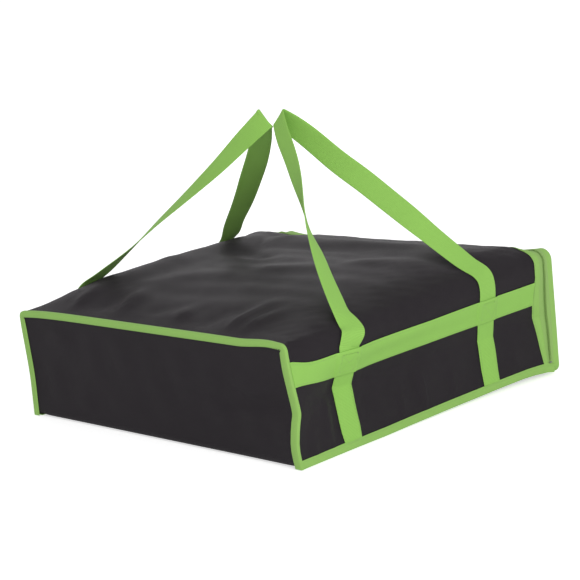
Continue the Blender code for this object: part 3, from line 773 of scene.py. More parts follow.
def makeSleeveLiner():
    x = mix(bag["seamX"], bag["sleeveEndX"], np.linspace(0, 1, liner["alongSteps"]))[:, None]
    v = archParameters(liner["archSteps"])[None, :]
    feet = (bag["innerFloor"], bag["innerFloor"])
    outer = slump(archPoints(x, v, liner["under"], feet))
    inside = archPoints(x, v, bag["innerInset"] - liner["gap"], feet)
    travel = travelled(inside[len(inside) // 2])
    inner = slump(inside)
    clear = ease(*liner["fromMouth"], bag["sleeveEndX"] - x) * ease(*liner["fromRear"], x - bag["rearX"])
    soft = liner["quilt"][0] + liner["quilt"][1] * ripple(x, travel[None, :], liner["pitch"], liner["seed"])
    inner = inner - outwardNormals(inner) * (soft * clear)[..., None]
    piece = shellPiece("sleeve_liner", outer, inner, x[:, 0], travel, finishes["silver"])
    return dress(piece, "body", "silver_lining", "insulation_sleeve", "lining_sleeve")


makeSleeveLiner()
print("sleeve made")


# the base: floor, bend and closed end

base = {
    # rows along the floor and up the closed end, and columns, for the cloth and for the liner
    "steps": (46, 44, 110), "linerSteps": (40, 30, 90), "bendSteps": 7, "crowdShare": 0.35,
    "shelf": 10.3 * mm, "ramp": 20 * mm, "archShares": (0.2, 0.8, 400),
    # soft folds that run across the closed end towards the near edge's kink: start, end, height and width
    "folds": (((-70, 44), (-218, 58), 2.6, 9), ((-90, 62), (-218, 71), -2.4, 6),
              ((-20, 86), (-190, 84), 1.4, 12)),
    "foldStart": (-0.1, 0.35), "foldEnd": (0.98, 1.2),
    "wrinkle": 0.9 * mm, "pitch": 75 * mm, "seed": 31, "deepest": 0.8 * mm, "top": 130 * mm,
    "fromFloor": (12 * mm, 34 * mm), "fromSide": (7 * mm, 18 * mm), "fromTop": (8 * mm, 24 * mm),
    # the liner's two faces, and the quilting of its floor
    "linerDepth": (2.0 * mm, 5.6 * mm), "quilt": 0.25 * mm, "linerSeed": 41, "linerSide": (4 * mm, 22 * mm),
    "linerFloor": 3 * mm, "clothReach": 224 * mm, "linerReach": 220 * mm,
}


def trayGrid(depth, lift, steps):
    # rows along the floor, round the bend and up the closed end; columns from the front wall to the back wall
    floorSteps, endSteps, acrossSteps = steps
    rearX, bend = bag["rearX"], bag["bendRadius"]
    even = np.linspace(-1, 1, acrossSteps)
    share = mix(even, np.sin(math.pi / 2 * even), base["crowdShare"])
    fromWall = (1 - np.abs(share)) * (bag["half"] - bag["wallInset"])
    raised = lift * (1 - ease(base["shelf"], base["ramp"], fromWall))
    line = archPoints(rearX, np.linspace(*base["archShares"]), bag["wallInset"], (0, 0))
    roof = np.interp(share * (halfWidth(1, rearX) - bag["wallInset"]), line[:, 1], line[:, 2])
    floorX = np.linspace(bag["trayEndX"], rearX + bend, floorSteps)[:, None]
    turn = (math.pi / 2 * np.arange(1, base["bendSteps"]) / base["bendSteps"])[:, None]
    up = np.linspace(0, 1, endSteps)[:, None]
    bendX = rearX + bend - (bend - depth) * np.sin(turn)
    x = np.concatenate([floorX, bendX, rearX + depth + 0 * up]) + 0 * share
    curve = bend - (bend - depth) * np.cos(turn) + raised * (1 - np.sin(turn))
    z = np.concatenate([depth + raised + 0 * floorX, curve, mix(bend, roof, up)])
    half = np.where(share > 0, halfWidth(1, x), halfWidth(-1, x))
    return np.stack([x, share * (half - bag["wallInset"]), z], -1), share


def makeBase():
    outer, share = trayGrid(0, bag["trayLift"], base["steps"])
    inner, _ = trayGrid(sleeve["cloth"], bag["trayLift"], base["steps"])
    y, z = outer[..., 1], outer[..., 2]
    clear = ease(*base["fromFloor"], z) * ease(*base["fromSide"], (1 - np.abs(share)) * bag["half"])
    wave = ripple(y, z, base["pitch"], base["seed"]) * base["wrinkle"]
    for start, end, height, width in base["folds"]:
        along, across = alongLine(y, z, start, end)
        fold = bell(across, width * mm) * within(along, base["foldStart"], base["foldEnd"])
        wave = wave + height * mm * fold
    # no hollow is deeper than the cloth, so that the liner stays behind it
    wave = np.maximum(wave, -base["deepest"]) * clear * ease(*base["fromTop"], base["top"] - z)
    shift = np.stack([wave, 0 * wave, 0 * wave], -1)
    outer, inner = slump(outer) - shift, slump(inner) - shift
    travel = travelled(outer[:, base["steps"][2] // 2])
    piece = shellPiece("base_cloth", outer, inner, travel, share * base["clothReach"], finishes["cloth"])
    return dress(piece, "body", "black_fabric", "outer_base")


def makeBaseLiner():
    (outer, share), (inner, _) = (trayGrid(depth, 0, base["linerSteps"]) for depth in base["linerDepth"])
    outer, inner = slump(outer), slump(inner)
    soft = 1 + ripple(inner[..., 0] + inner[..., 2], inner[..., 1], liner["pitch"], base["linerSeed"])
    clear = ease(*base["linerSide"], (1 - np.abs(share)) * base["linerReach"])
    clear = clear * (outer[..., 2] < base["linerFloor"])
    inner[..., 2] = inner[..., 2] + base["quilt"] * soft * clear
    travel = travelled(outer[:, base["linerSteps"][2] // 2])
    piece = shellPiece("base_liner", outer, inner, travel, share * base["linerReach"], finishes["silver"])
    return dress(piece, "body", "silver_lining", "insulation_base", "lining_base")


makeBase()
makeBaseLiner()
print("base made")


# bindings

binding = {
    "thick": 0.8 * mm, "lift": 0.6 * mm, "steps": 230, "sideEnd": -217.2 * mm, "bend": 1.2 * mm,
    "gap": 0.3 * mm,
    # the leg on the closed end is narrower over the top than up the sides, and pinched behind the near corner
    "endLeg": 8.6 * mm, "overTop": ((0.19, 0.27), (0.73, 0.81)), "overTopShare": 0.28,
    "pinchShare": 0.2, "pinchPlaceShare": 0.31, "pinchWideShare": 0.055, "endFoot": 0.4 * mm,
    "mouthThick": 0.6 * mm, "mouthDepth": 5.5 * mm, "mouthFoot": 10.3 * mm,
    "lowSteps": 150, "lowWidth": 10 * mm, "lowLift": 0.45 * mm, "lowBend": 1.5 * mm, "lowStart": 0.2 * mm,
}


def sweepArch(profile, feet, inset=None):
    # the profile's (x, inset) points carried up one side, over the top and down the other
    v = archParameters(binding["steps"])[:, None]
    inset = profile[None, :, 1] if inset is None else inset
    return slump(archPoints(profile[None, :, 0], v, inset, (feet, feet)))


def makeRearBinding():
    lift, rearX = binding["lift"], bag["rearX"]
    corners = [(binding["sideEnd"], -lift), (rearX - lift, -lift), (rearX - lift, binding["endLeg"])]
    profile = tapeProfile(corners, binding["thick"], binding["bend"])
    v = archParameters(binding["steps"])[:, None]
    pinch = bell(v - binding["pinchPlaceShare"], binding["pinchWideShare"])
    narrow = 1 - binding["overTopShare"] * within(v, *binding["overTop"]) - binding["pinchShare"] * pinch
    inset = profile[None, :, 1] * np.where(profile[None, :, 1] > 0, narrow, 1)
    rings = sweepArch(profile, binding["endFoot"], inset)
    dress(tubePiece("rear_binding", rings, finishes["binding"]), "body", "green_binding", "binding_rear")


def makeMouthBinding():
    low, high = bag["mouthX"], bag["mouthX"] + bag["tapeWidth"] - binding["gap"]
    lift, depth = binding["lift"], binding["mouthDepth"]
    profile = tapeProfile([(low, -lift), (high, -lift), (high, depth), (low, depth)], binding["mouthThick"],
                          binding["bend"])
    rings = sweepArch(profile, binding["mouthFoot"])
    dress(tubePiece("mouth_binding", rings, finishes["binding"]), "body", "green_binding", "binding_mouth")


def makeLowBinding(side, word):
    x = np.linspace(binding["sideEnd"] + binding["lowStart"], bag["trayEndX"], binding["lowSteps"])[:, None]
    width, lift = binding["lowWidth"], binding["lowLift"]
    across = tapeProfile([(width, lift), (0, lift), (0, width)], binding["thick"], binding["lowBend"])
    face = wallPoints(side, x, across[None, :, 1], -binding["lift"])
    face[..., 1] = face[..., 1] - side * across[None, :, 0]
    rings = slump(face)
    rings[..., 2] = np.maximum(rings[..., 2], 0)
    piece = tubePiece("base_binding_" + word, rings, finishes["binding"])
    dress(piece, "body", "green_binding", "binding_base_" + word)


makeRearBinding()
makeMouthBinding()
for sideOf, wordOf in ((-1, "front"), (1, "back")):
    makeLowBinding(sideOf, wordOf)
print("bindings made")


# the door

door = {
    "steps": 60, "hollow": 1.6 * mm, "inset": 0.9 * mm, "middle": 74 * mm, "bindingThick": 0.6 * mm,
    "gap": 0.3 * mm, "leg": 9.7 * mm, "bend": 1.6 * mm,
    "cloth": (219.1 * mm, 218.3 * mm), "liner": (218.0 * mm, 214.2 * mm), "quilt": 0.8 * mm,
    "hollowShares": (0.06, 0.7), "wave": 0.35 * mm, "wavePitch": 60 * mm, "waveSeed": 53, "highest": 0.6 * mm,
    "waveShares": ((0.05, 0.3), (0.1, 0.5)), "quiltPitch": 30 * mm, "quiltSeed": 61,
    "quiltShares": (0.03, 0.12),
}


def makeDoorBinding():
    low, high, gap = bag["ringX"] + door["gap"], bag["doorX"] - door["gap"], door["gap"]
    profile = tapeProfile([(low, gap), (high, gap), (high, door["leg"])], door["bindingThick"], door["bend"])
    rings = slump(doorPoints(profile[:, 0], profile[:, 1]))
    piece = tubePiece("door_binding", rings, finishes["binding"], closed=True)
    dress(piece, "door", "green_binding", "binding_door")


def doorFace(outline, x, quilt):
    # the outline shrunk towards its middle in steps, and hollowed from the rim inwards
    shares = np.linspace(0, 1, door["steps"], endpoint=False)[:, None, None]
    points = mix(outline[None], np.array([door["cloth"][0], 0, door["middle"]]), shares)
    fade = shares[..., 0]
    y, z = points[..., 1], points[..., 2]
    wave = ripple(y, z, door["wavePitch"], door["waveSeed"]) * door["wave"]
    wave = np.minimum(wave * ease(*door["waveShares"][0], fade), door["highest"])
    wave = wave * ease(*door["waveShares"][1], fade)
    bump = 0.6 + 0.5 * ripple(y, z, door["quiltPitch"], door["quiltSeed"])
    bump = quilt * bump * ease(*door["quiltShares"], fade)
    points[..., 0] = x - door["hollow"] * ease(*door["hollowShares"], fade) + wave - bump
    return slump(points)


def makeDoorPanel(name, faces, quilt, finish, slot, *nodes):
    # two faces joined round the rim, each closed by triangles to a point in its middle
    outline = doorPoints(faces[0], door["inset"])
    grids = [doorFace(outline, x, soft) for x, soft in zip(faces, (0, quilt))]
    rows, columns = grids[0].shape[:2]
    quads, _ = gridFaces(rows, columns, wrap=True)
    offset = rows * columns
    first = np.arange(columns)
    next_ = np.roll(first, -1)
    rim = np.stack([next_, first, first + offset, next_ + offset], -1)
    last, after = first + offset - columns, next_ + offset - columns
    middles = [grid[-1].mean(0) for grid in grids]
    points = np.concatenate([grids[0].reshape(-1, 3), grids[1].reshape(-1, 3), middles])
    allQuads = np.concatenate([quads, quads[:, ::-1] + offset, rim])
    caps = [(last[k], after[k], 2 * offset) for k in range(columns)]
    caps += [(after[k] + offset, last[k] + offset, 2 * offset + 1) for k in range(columns)]
    piece = addPiece(name, points, allQuads, points[allQuads][..., 1:], finish, caps=caps)
    # the map is the place across the panel, for the triangles too
    index = np.zeros(len(piece.data.loops), int)
    piece.data.loops.foreach_get("vertex_index", index)
    piece.data.uv_layers[0].data.foreach_set("uv", points[index][:, 1:].ravel())
    return dress(piece, "door", slot, *nodes)


makeDoorBinding()
makeDoorPanel("door_cloth", door["cloth"], 0, finishes["cloth"], "black_fabric", "door_outer")
doorLiner = makeDoorPanel("door_liner", door["liner"], door["quilt"], finishes["silver"], "silver_lining",
                          "door_insulation", "door_lining")
print("door made")


# the zip

zipper = {
    "pitch": 1.9 * mm, "coilWidth": 2.6 * mm, "coilHeight": 1.6 * mm, "toothWidth": 0.84 * mm,
    "coilUnder": 0.3 * mm, "half": 0.4 * mm, "overlap": 0.7 * mm, "tapeInset": 0.4 * mm,
    "tapeThick": 0.7 * mm, "tapeFoot": 1.7 * mm, "tapeBodyX": 193.0 * mm, "tapeDoorX": 210.0 * mm,
    # the heights of the row's two feet, on the front and on the back
    "feet": {"body": (14 * mm, 19 * mm), "door": (14 * mm, 31.3 * mm)},
    "stop": (4.2 * mm, 1.6 * mm, 1.9 * mm), "stopInset": -0.9 * mm, "stopFeet": (12.2 * mm, 16.8 * mm),
}


def trackAlongArch(x, inset, feet, pitch):
    # even steps along the arch: places, directions along it and outward normals
    dense = slump(archPoints(x, archParameters(3000), inset, feet))
    travel = travelled(dense)
    count = int(travel[-1] / pitch)
    marks = (np.arange(count) + 0.5) * travel[-1] / count
    places = np.stack([np.interp(marks, travel, dense[:, axis]) for axis in range(3)], -1)
    tangent = unit(np.gradient(places, axis=0))
    normal = unit(np.cross(tangent, np.array([1.0, 0, 0])))
    if normal[len(normal) // 2, 2] < 0:
        normal = -normal
    return places, tangent, normal


def repeated(name, shape, faces, places, ways, finish):
    # one small closed shape set down at every place, turned to the three directions there
    points = places[:, None]
    for axis, way in enumerate(ways):
        points = points + shape[None, :, axis:axis + 1] * way[:, None]
    count = len(shape)
    quads = (faces[None] + (np.arange(len(places)) * count)[:, None, None]).reshape(-1, 4)
    points = points.reshape(-1, 3)
    mapping = points[quads][..., :2]
    return addPiece(name, points, quads, mapping, finish, sharp=60)


def roundedBar(length, width, height):
    # six-sided rings along a bar, in shares of its length and size, narrower at both ends and closed there
    sides, rings = 6, ((-0.5, 0.55), (-0.36, 1), (0.36, 1), (0.5, 0.55))
    turn = 2 * math.pi * (np.arange(sides) + 0.5) / sides
    across, up = np.cos(turn) * width / 2, np.sin(turn) * height / 2
    points = np.concatenate([np.stack([np.full(sides, place * length), across * size, up * size], -1)
                             for place, size in rings])
    quads, _ = gridFaces(len(rings), sides, wrap=True)
    low = np.arange(sides)
    high = low + (len(rings) - 1) * sides
    ends = [(low[0], low[3], low[2], low[1]), (low[0], low[5], low[4], low[3]),
            (high[0], high[1], high[2], high[3]), (high[0], high[3], high[4], high[5])]
    return points, np.concatenate([quads, np.array(ends)])


def makeTape(body, low, high):
    inset = zipper["tapeInset"]
    rings = sweepArch(tapeProfile([(low, inset), (high, inset)], zipper["tapeThick"]), zipper["tapeFoot"])
    dress(tubePiece("zip_tape_on_" + body, rings, finishes["tape"]), body, "zip_tape", "zip_tape_" + body)


def makeTeeth(body, direction, phase):
    # the two sides' teeth are half a pitch apart, so that they mesh
    middle = bag["zipX"] + direction * (zipper["coilWidth"] / 2 - zipper["overlap"])
    inset = -zipper["coilUnder"] - zipper["coilHeight"] / 2
    places, tangent, normal = trackAlongArch(middle, inset, zipper["feet"][body], zipper["pitch"])
    places = places + tangent * zipper["pitch"] * phase
    across = np.zeros(places.shape)
    across[:, 0] = 1.0
    bar, faces = roundedBar(zipper["coilWidth"], zipper["toothWidth"], zipper["coilHeight"])
    piece = repeated("zip_teeth_on_" + body, bar, faces, places, (across, tangent, normal), finishes["coil"])
    dress(piece, body, "zip_coil", "zip_coil_" + body)


def makeStop(side, word):
    spot = slump(archPoints(bag["zipX"], (1 + side) / 2, zipper["stopInset"], zipper["stopFeet"]))
    bar, faces = roundedBar(*zipper["stop"])
    ways = np.array([[[1.0, 0, 0]], [[0, 0, 1]], [[0, side, 0]]])
    piece = repeated("zip_stop_on_" + word, bar, faces, spot[None], ways, finishes["metal"])
    dress(piece, "body", "zip_metal", "zip_stop_" + word)


makeTape("body", zipper["tapeBodyX"], bag["zipX"] - zipper["half"])
makeTape("door", bag["zipX"] + zipper["half"], zipper["tapeDoorX"])
makeTeeth("body", -1, 0)
makeTeeth("door", 1, 0.5)
for sideOf, wordOf in ((-1, "front"), (1, "back")):
    makeStop(sideOf, wordOf)
for nodeName in ("zip_slider", "zip_pull"):
    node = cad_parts[nodeName]
    for materialSlot in node.material_slots:
        materialSlot.material = finishes["metal"]
print("zip made")


# webbing: bands, straps and handles

web = {
    "width": 27 * mm, "thick": 1.2 * mm, "under": 0.9 * mm, "over": 2.4 * mm, "foot": 10.3 * mm,
    "strapTop": 114.8 * mm,
    # one strap leans a little, from one height to the other
    "strapLean": {(-1, 1): -4.2 * mm}, "leanFrom": 66 * mm, "leanTo": 110 * mm,
    "strapRows": 66, "legSpacing": 2.2 * mm, "apexRadius": 3.0 * mm, "apexSteps": 11, "bendReach": 13 * mm,
    # a flat oval with full edges: shares of the width, and rises in shares of the thickness
    "ovalShares": (-0.5, -0.485, -0.44, -0.25, 0, 0.25, 0.44, 0.485, 0.5),
    "ovalRise": (0, 0.34, 0.48, 0.5, 0.5, 0.5, 0.48, 0.34, 0),
}

band = {
    "steps": 270, "start": 0.2 * mm, "end": 182.7 * mm, "smooth": 9, "slope": 4 * mm,
    "ovalShares": (-0.5, -0.485, -0.44, -0.3, -0.15, 0, 0.15, 0.3, 0.44, 0.485, 0.5),
    "ovalRise": (0, 0.34, 0.48, 0.5, 0.5, 0.5, 0.5, 0.5, 0.48, 0.34, 0),
    # the band sags between its ends: places along the bag with the heights of its lower and its upper edge
    "edges": ((-216, 89, 115.4), (-210, 89.1, 114.2), (-200, 88.1, 112.1), (-190, 86.9, 110.5),
              (-180, 85.6, 110.4), (-170, 84.4, 110.7), (-160, 83.4, 111), (-150, 82.5, 111.3),
              (-140, 82.4, 111.6), (-120, 82.9, 112), (-100, 83.2, 112.2), (0, 84.2, 112.5),
              (100, 86.9, 115.5), (140, 88.2, 116.5), (183, 89.3, 117.8)),
}


def bandEdges(x):
    place, low, high = np.array(band["edges"]).T * mm
    return np.interp(x, place, low), np.interp(x, place, high)


# places in mm and outer-to-inner directions of each handle leg, from its knee to near the apex
legs = {
    (-1, -1): (
        ((-129.4, -227.4, 129.4), (0.935, -0.34, -0.08)), ((-125.8, -220.2, 136.7), (0.93, -0.34, -0.08)),
        ((-125.4, -209.2, 148.0), (0.955, -0.08, -0.25)), ((-120.6, -195.8, 161.9), (0.945, -0.01, -0.31)),
        ((-110.3, -173.3, 185.2), (0.889, -0.006, -0.46)), ((-96.6, -149.1, 209.1), (0.812, 0.122, -0.571)),
        ((-84.0, -126.6, 231.1), (0.609, 0.359, -0.708)), ((-69.2, -106.4, 254.3), (0.4, 0.535, -0.742)),
        ((-54.5, -85.1, 277.6), (0.144, 0.677, -0.722)), ((-40.6, -62.6, 301.0), (0.03, 0.715, -0.698)),
        ((-29.9, -43.1, 320.2), (0.0, 0.72, -0.694)),
    ),
    (-1, 1): (
        ((101.4, -218.8, 140.4), (-0.975, -0.03, -0.19)), ((94.9, -206.2, 153.8), (-0.975, 0.0, -0.19)),
        ((86.3, -192.6, 166.8), (-0.945, 0.02, -0.31)), ((70.5, -169.6, 192.2), (-0.862, 0.006, -0.507)),
        ((56.4, -146.5, 216.8), (-0.75, 0.206, -0.629)), ((43.3, -125.3, 239.1), (-0.689, 0.276, -0.67)),
        ((30.1, -104.0, 261.3), (-0.59, 0.37, -0.72)), ((16.3, -82.2, 282.8), (-0.43, 0.51, -0.745)),
        ((3.6, -61.2, 305.8), (-0.33, 0.58, -0.745)), ((-7.4, -43.6, 323.8), (-0.2, 0.64, -0.742)),
    ),
    (1, -1): (
        ((-129.3, 218.4, 135.2), (0.965, 0.1, -0.17)), ((-122.8, 198.0, 152.2), (0.972, 0.15, -0.11)),
        ((-117.6, 178.4, 165.6), (0.93, 0.34, -0.12)), ((-103.9, 149.5, 189.5), (0.89, 0.44, 0.09)),
        ((-89.2, 121.0, 216.0), (0.8, 0.57, 0.18)), ((-75.5, 94.5, 239.2), (0.715, 0.628, 0.305)),
        ((-62.1, 68.4, 262.3), (0.58, 0.686, 0.43)), ((-49.0, 43.0, 285.6), (0.4, 0.728, 0.55)),
        ((-36.5, 18.5, 309.8), (0.2, 0.72, 0.66)), ((-27.0, 2.5, 325.5), (0.08, 0.69, 0.72)),
    ),
    (1, 1): (
        ((103.5, 217.8, 142.4), (-0.97, 0.05, -0.16)), ((100.8, 202.4, 157.5), (-0.95, 0.25, -0.13)),
        ((87.1, 179.1, 175.8), (-0.923, 0.373, -0.09)), ((72.0, 147.9, 201.5), (-0.89, 0.452, 0.03)),
        ((57.0, 117.9, 226.8), (-0.83, 0.53, 0.14)), ((43.0, 91.8, 249.9), (-0.74, 0.61, 0.27)),
        ((29.3, 66.4, 272.3), (-0.62, 0.67, 0.4)), ((15.2, 42.4, 294.7), (-0.45, 0.75, 0.48)),
        ((0.6, 20.3, 315.5), (-0.32, 0.75, 0.58)), ((-9.4, 6.0, 328.2), (-0.17, 0.71, 0.68)),
    ),
}
apexes = {
    -1: ((-18.5, -26.8, 338.7), (0.037, 0.713, -0.701)),
    1: ((-18.5, -6.7, 336.0), (-0.019, 0.648, 0.762)),
}


def curveThrough(points, spacing):
    # a natural cubic spline by the root of the distance from point to point, sampled at even steps
    points = np.array(points, float)
    marks = np.r_[0, np.cumsum(np.sqrt(np.linalg.norm(np.diff(points[:, :3], axis=0), axis=1)))]
    gaps = np.diff(marks)
    count = len(points)
    system = np.eye(count)
    right = np.zeros(points.shape)
    for k in range(1, count - 1):
        system[k, k - 1:k + 2] = gaps[k - 1], 2 * (gaps[k - 1] + gaps[k]), gaps[k]
        right[k] = 6 * ((points[k + 1] - points[k]) / gaps[k] - (points[k] - points[k - 1]) / gaps[k - 1])
    bend = np.linalg.solve(system, right)
    fine = np.linspace(0, marks[-1], 1200)
    k = np.clip(np.searchsorted(marks, fine, "right") - 1, 0, count - 2)
    left, reach = (fine - marks[k])[:, None], gaps[k][:, None]
    slope = (points[k + 1] - points[k]) / reach - reach * (2 * bend[k] + bend[k + 1]) / 6
    curve = points[k] + slope * left + bend[k] / 2 * left ** 2
    curve = curve + (bend[k + 1] - bend[k]) / (6 * reach) * left ** 3
    travel = travelled(curve[:, :3])
    samples = np.linspace(0, travel[-1], max(3, int(travel[-1] / spacing)))
    return np.stack([np.interp(samples, travel, curve[:, axis]) for axis in range(curve.shape[1])], -1)


def strapMiddle(side, end, z):
    # a strap's place along the bag: one of them leans a little at the top
    return bag["strapX"][end] + web["strapLean"].get((side, end), 0) * ease(web["leanFrom"], web["leanTo"], z)


def strapLine(side, end):
    # up the wall at the strap's place, under the band
    z = np.linspace(web["foot"], web["strapTop"], web["strapRows"])
    return z, web["under"] + 0 * z, strapMiddle(side, end, z)


def ribbonRings(centres, across, normal):
    # the webbing's flat oval set at every place of a path
    shares, rise = np.array(web["ovalShares"]), np.array(web["ovalRise"])
    wide = np.concatenate([shares, shares[-2:0:-1]])[None, :, None] * web["width"]
    high = np.concatenate([rise, -rise[-2:0:-1]])[None, :, None] * web["thick"]
    return centres[:, None] + wide * across[:, None] + high * normal[:, None]


def makeLeg(side, end):
    # up the strap, then along the leg's stations to the apex: places and outer-to-inner directions
    z, out, x = strapLine(side, end)
    edges = [slump(wallPoints(side, x + sign * end * web["width"] / 2, z, -out)) for sign in (1, -1)]
    strap = np.concatenate([(edges[0] + edges[1]) / 2, unit(edges[1] - edges[0])], -1)
    stations = [np.r_[np.array(place) * mm, way] for place, way in (*legs[side, end], apexes[side])]
    leg = curveThrough([strap[-4], strap[-1]] + stations, web["legSpacing"])
    start = np.linalg.norm(leg[:, :3] - strap[-1, :3], axis=1).argmin() + 1
    return np.concatenate([strap, leg[start:]])


def makeLoop(side, word):
    # the tip is turned over a small radius: both legs stop short of it and a curve joins them
    tip = np.r_[np.array(apexes[side][0]) * mm, apexes[side][1]]
    near, far = (leg[np.linalg.norm(leg[:, :3] - tip[:3], axis=1) > web["apexRadius"]]
                 for leg in (makeLeg(side, end) for end in (-1, 1)))
    share = np.linspace(0, 1, web["apexSteps"])[1:-1, None]
    turn = mix(mix(near[-1], tip, share), mix(tip, far[-1], share), share)
    path = np.concatenate([near, turn, far[::-1]])
    centres, across = path[:, :3], path[:, 3:]
    tangent = unit(np.gradient(centres, axis=0))
    across = unit(across - tangent * np.sum(across * tangent, -1, keepdims=True))
    rings = ribbonRings(centres, across, np.cross(tangent, across))
    piece = tubePiece("carrying_loop_" + word, rings, finishes["web"])
    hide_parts("handle_" + word, "strap_" + word + "_rear", "strap_" + word + "_door")
    top = web["strapTop"]
    hinge = slump(wallPoints(side, bag["strapX"][-1], top, -web["over"]))
    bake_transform(piece)


def makeBand(side, word):
    # cross-sections between the band's two edges, pushed out along the wall's own direction, over the straps
    x = np.linspace(binding["sideEnd"] + band["start"], band["end"], band["steps"])
    shares, rise = np.array(band["ovalShares"]), np.array(band["ovalRise"])
    smooth, spare = np.ones(band["smooth"]) / band["smooth"], band["smooth"] // 2
    low, high = (np.convolve(np.pad(edge, spare, mode="edge"), smooth, "valid") for edge in bandEdges(x))
    z = mix(low[:, None], high[:, None], shares[None, :] + 0.5)
    apart = np.minimum(*(np.abs(x[:, None] - strapMiddle(side, end, z)) for end in (-1, 1)))
    half = web["width"] / 2
    out = mix(web["over"], web["under"], ease(half, half + band["slope"], apart))
    line = slump(wallPoints(side, x[:, None], z, -out))
    normal = np.cross(np.gradient(line[:, len(shares) // 2], axis=0), line[:, -1] - line[:, 0])
    normal = unit(normal) * np.sign(normal[:, 1:2] * side)
    bulge = normal[:, None] * (rise * web["thick"])[None, :, None]
    rings = np.concatenate([line + bulge, (line - bulge)[:, -2:0:-1]], 1)
    dress(tubePiece("side_band_" + word, rings, finishes["web"]), "body", "green_webbing", "band_" + word)


for sideOf, wordOf in ((-1, "front"), (1, "back")):
    makeBand(sideOf, wordOf)
    makeLoop(sideOf, wordOf)
print("webbing made")


# stitching

stitch = {
    "length": 2.5 * mm, "gap": 0.9 * mm, "width": 0.55 * mm, "height": 0.4 * mm, "probe": 0.5 * mm,
    "step": 2 * mm, "boxHalf": 10 * mm, "boxSteps": 24, "leanShare": 0.6, "archSteps": 900, "rowSteps": 240,
    "edge": 2.2 * mm, "bandEnds": (-215 * mm, 181 * mm), "strapFoot": 12 * mm, "strapShort": 5 * mm,
    "strapSteps": 60, "lowEnds": (-214 * mm, 206 * mm), "lowHeight": 8.2 * mm, "lowLift": 1.05 * mm,
    # the rows round the arch: place, inset, height of their feet and the sign of the end face, or 0
    "rear": (-221.05 * mm, 5.2 * mm, 12 * mm, -1), "mouth": (184.4 * mm, -0.95 * mm, 14 * mm, 0),
    "door": (219.95 * mm, 7.4 * mm, 14 * mm, 1),
}


def along(values, travel, marks):
    return np.stack([np.interp(marks, travel, values[:, axis]) for axis in range(3)], -1)


def stitchRun(line, normals):
    # even dashes along a line of points
    travel = travelled(line)
    count = max(1, int(travel[-1] / (stitch["length"] + stitch["gap"])))
    marks = (np.arange(count) + 0.5) * travel[-1] / count
    tangent = along(line, travel, marks + stitch["probe"]) - along(line, travel, marks - stitch["probe"])
    return along(line, travel, marks), unit(tangent), unit(along(normals, travel, marks))


def addStitches(name, runs, body, *nodes):
    places, tangent, normal = (np.concatenate([run[part] for run in runs]) for part in range(3))
    bar, faces = roundedBar(stitch["length"], stitch["width"], stitch["height"])
    ways = (tangent, np.cross(normal, tangent), normal)
    dress(repeated(name, bar, faces, places, ways, finishes["thread"]), body, "green_thread", *nodes)


def wallRun(side, x, z, lift):
    # a line on a side wall, lifted off the cloth
    x, z = np.broadcast_arrays(x, z)
    line = slump(wallPoints(side, x, z, -lift))
    alongX = slump(wallPoints(side, x + stitch["step"], z, -lift)) - line
    alongZ = slump(wallPoints(side, x, z + stitch["step"], -lift)) - line
    normals = unit(np.cross(alongX, alongZ))
    return stitchRun(line, normals * np.sign(normals[:, 1:2] * side))


def archRun(x, inset, foot, face):
    # a line up one side, over the top and down the other; face gives the sign of an end face, or 0
    line = slump(archPoints(x, archParameters(stitch["archSteps"]), inset, (foot, foot)))
    if face:
        return stitchRun(line, np.broadcast_to(np.array([float(face), 0, 0]), line.shape))
    normals = unit(np.cross(unit(np.gradient(line, axis=0)), np.array([1.0, 0, 0])))
    return stitchRun(line, normals * np.sign(normals[len(normals) // 2, 2]))


def boxRuns(side, end):
    # a square with a cross in it over the crossing of strap and band
    half = stitch["boxHalf"]
    height = sum(bandEdges(bag["strapX"][end])) / 2
    place = bag["strapX"][end] + web["strapLean"].get((side, end), 0) * stitch["leanShare"]
    corners = [(-half, -half), (half, -half), (half, half), (-half, half), (-half, -half), (half, half),
               (-half, half), (half, -half)]
    share = np.linspace(0, 1, stitch["boxSteps"])
    lift = web["over"] + web["thick"] / 2
    return [wallRun(side, place + mix(fromX, toX, share), height + mix(fromZ, toZ, share), lift)
            for (fromX, fromZ), (toX, toZ) in zip(corners[:-1], corners[1:])]


def edgeRows(side):
    # both edges of the band, of the two straps below it, and the upper edge of the low binding
    inside, lift = stitch["edge"], web["under"] + web["thick"] / 2
    x = np.linspace(*stitch["bandEnds"], stitch["rowSteps"])
    low, high = bandEdges(x)
    runs = [wallRun(side, x, low + inside, lift), wallRun(side, x, high - inside, lift)]
    for end in (-1, 1):
        top = bandEdges(bag["strapX"][end])[0] - stitch["strapShort"]
        z = np.linspace(stitch["strapFoot"], top, stitch["strapSteps"])
        for edge in (-1, 1):
            place = strapMiddle(side, end, z) + edge * (web["width"] / 2 - inside)
            runs.append(wallRun(side, place, z, lift))
    x = np.linspace(*stitch["lowEnds"], stitch["rowSteps"])
    return runs + [wallRun(side, x, stitch["lowHeight"], stitch["lowLift"])]


for sideOf, wordOf in ((-1, "front"), (1, "back")):
    for endOf, endWord in ((-1, "rear"), (1, "door")):
        crossing = wordOf + "_" + endWord
        addStitches("cross_stitch_" + crossing, boxRuns(sideOf, endOf), "body", "stitch_" + crossing)
    addStitches("edge_stitches_" + wordOf, edgeRows(sideOf), "body")
addStitches("rear_stitches", [archRun(*stitch["rear"])], "body")
addStitches("mouth_stitches", [archRun(*stitch["mouth"])], "body")
addStitches("door_stitches", [archRun(*stitch["door"])], "door")
print("stitches made")


# floor, light and camera

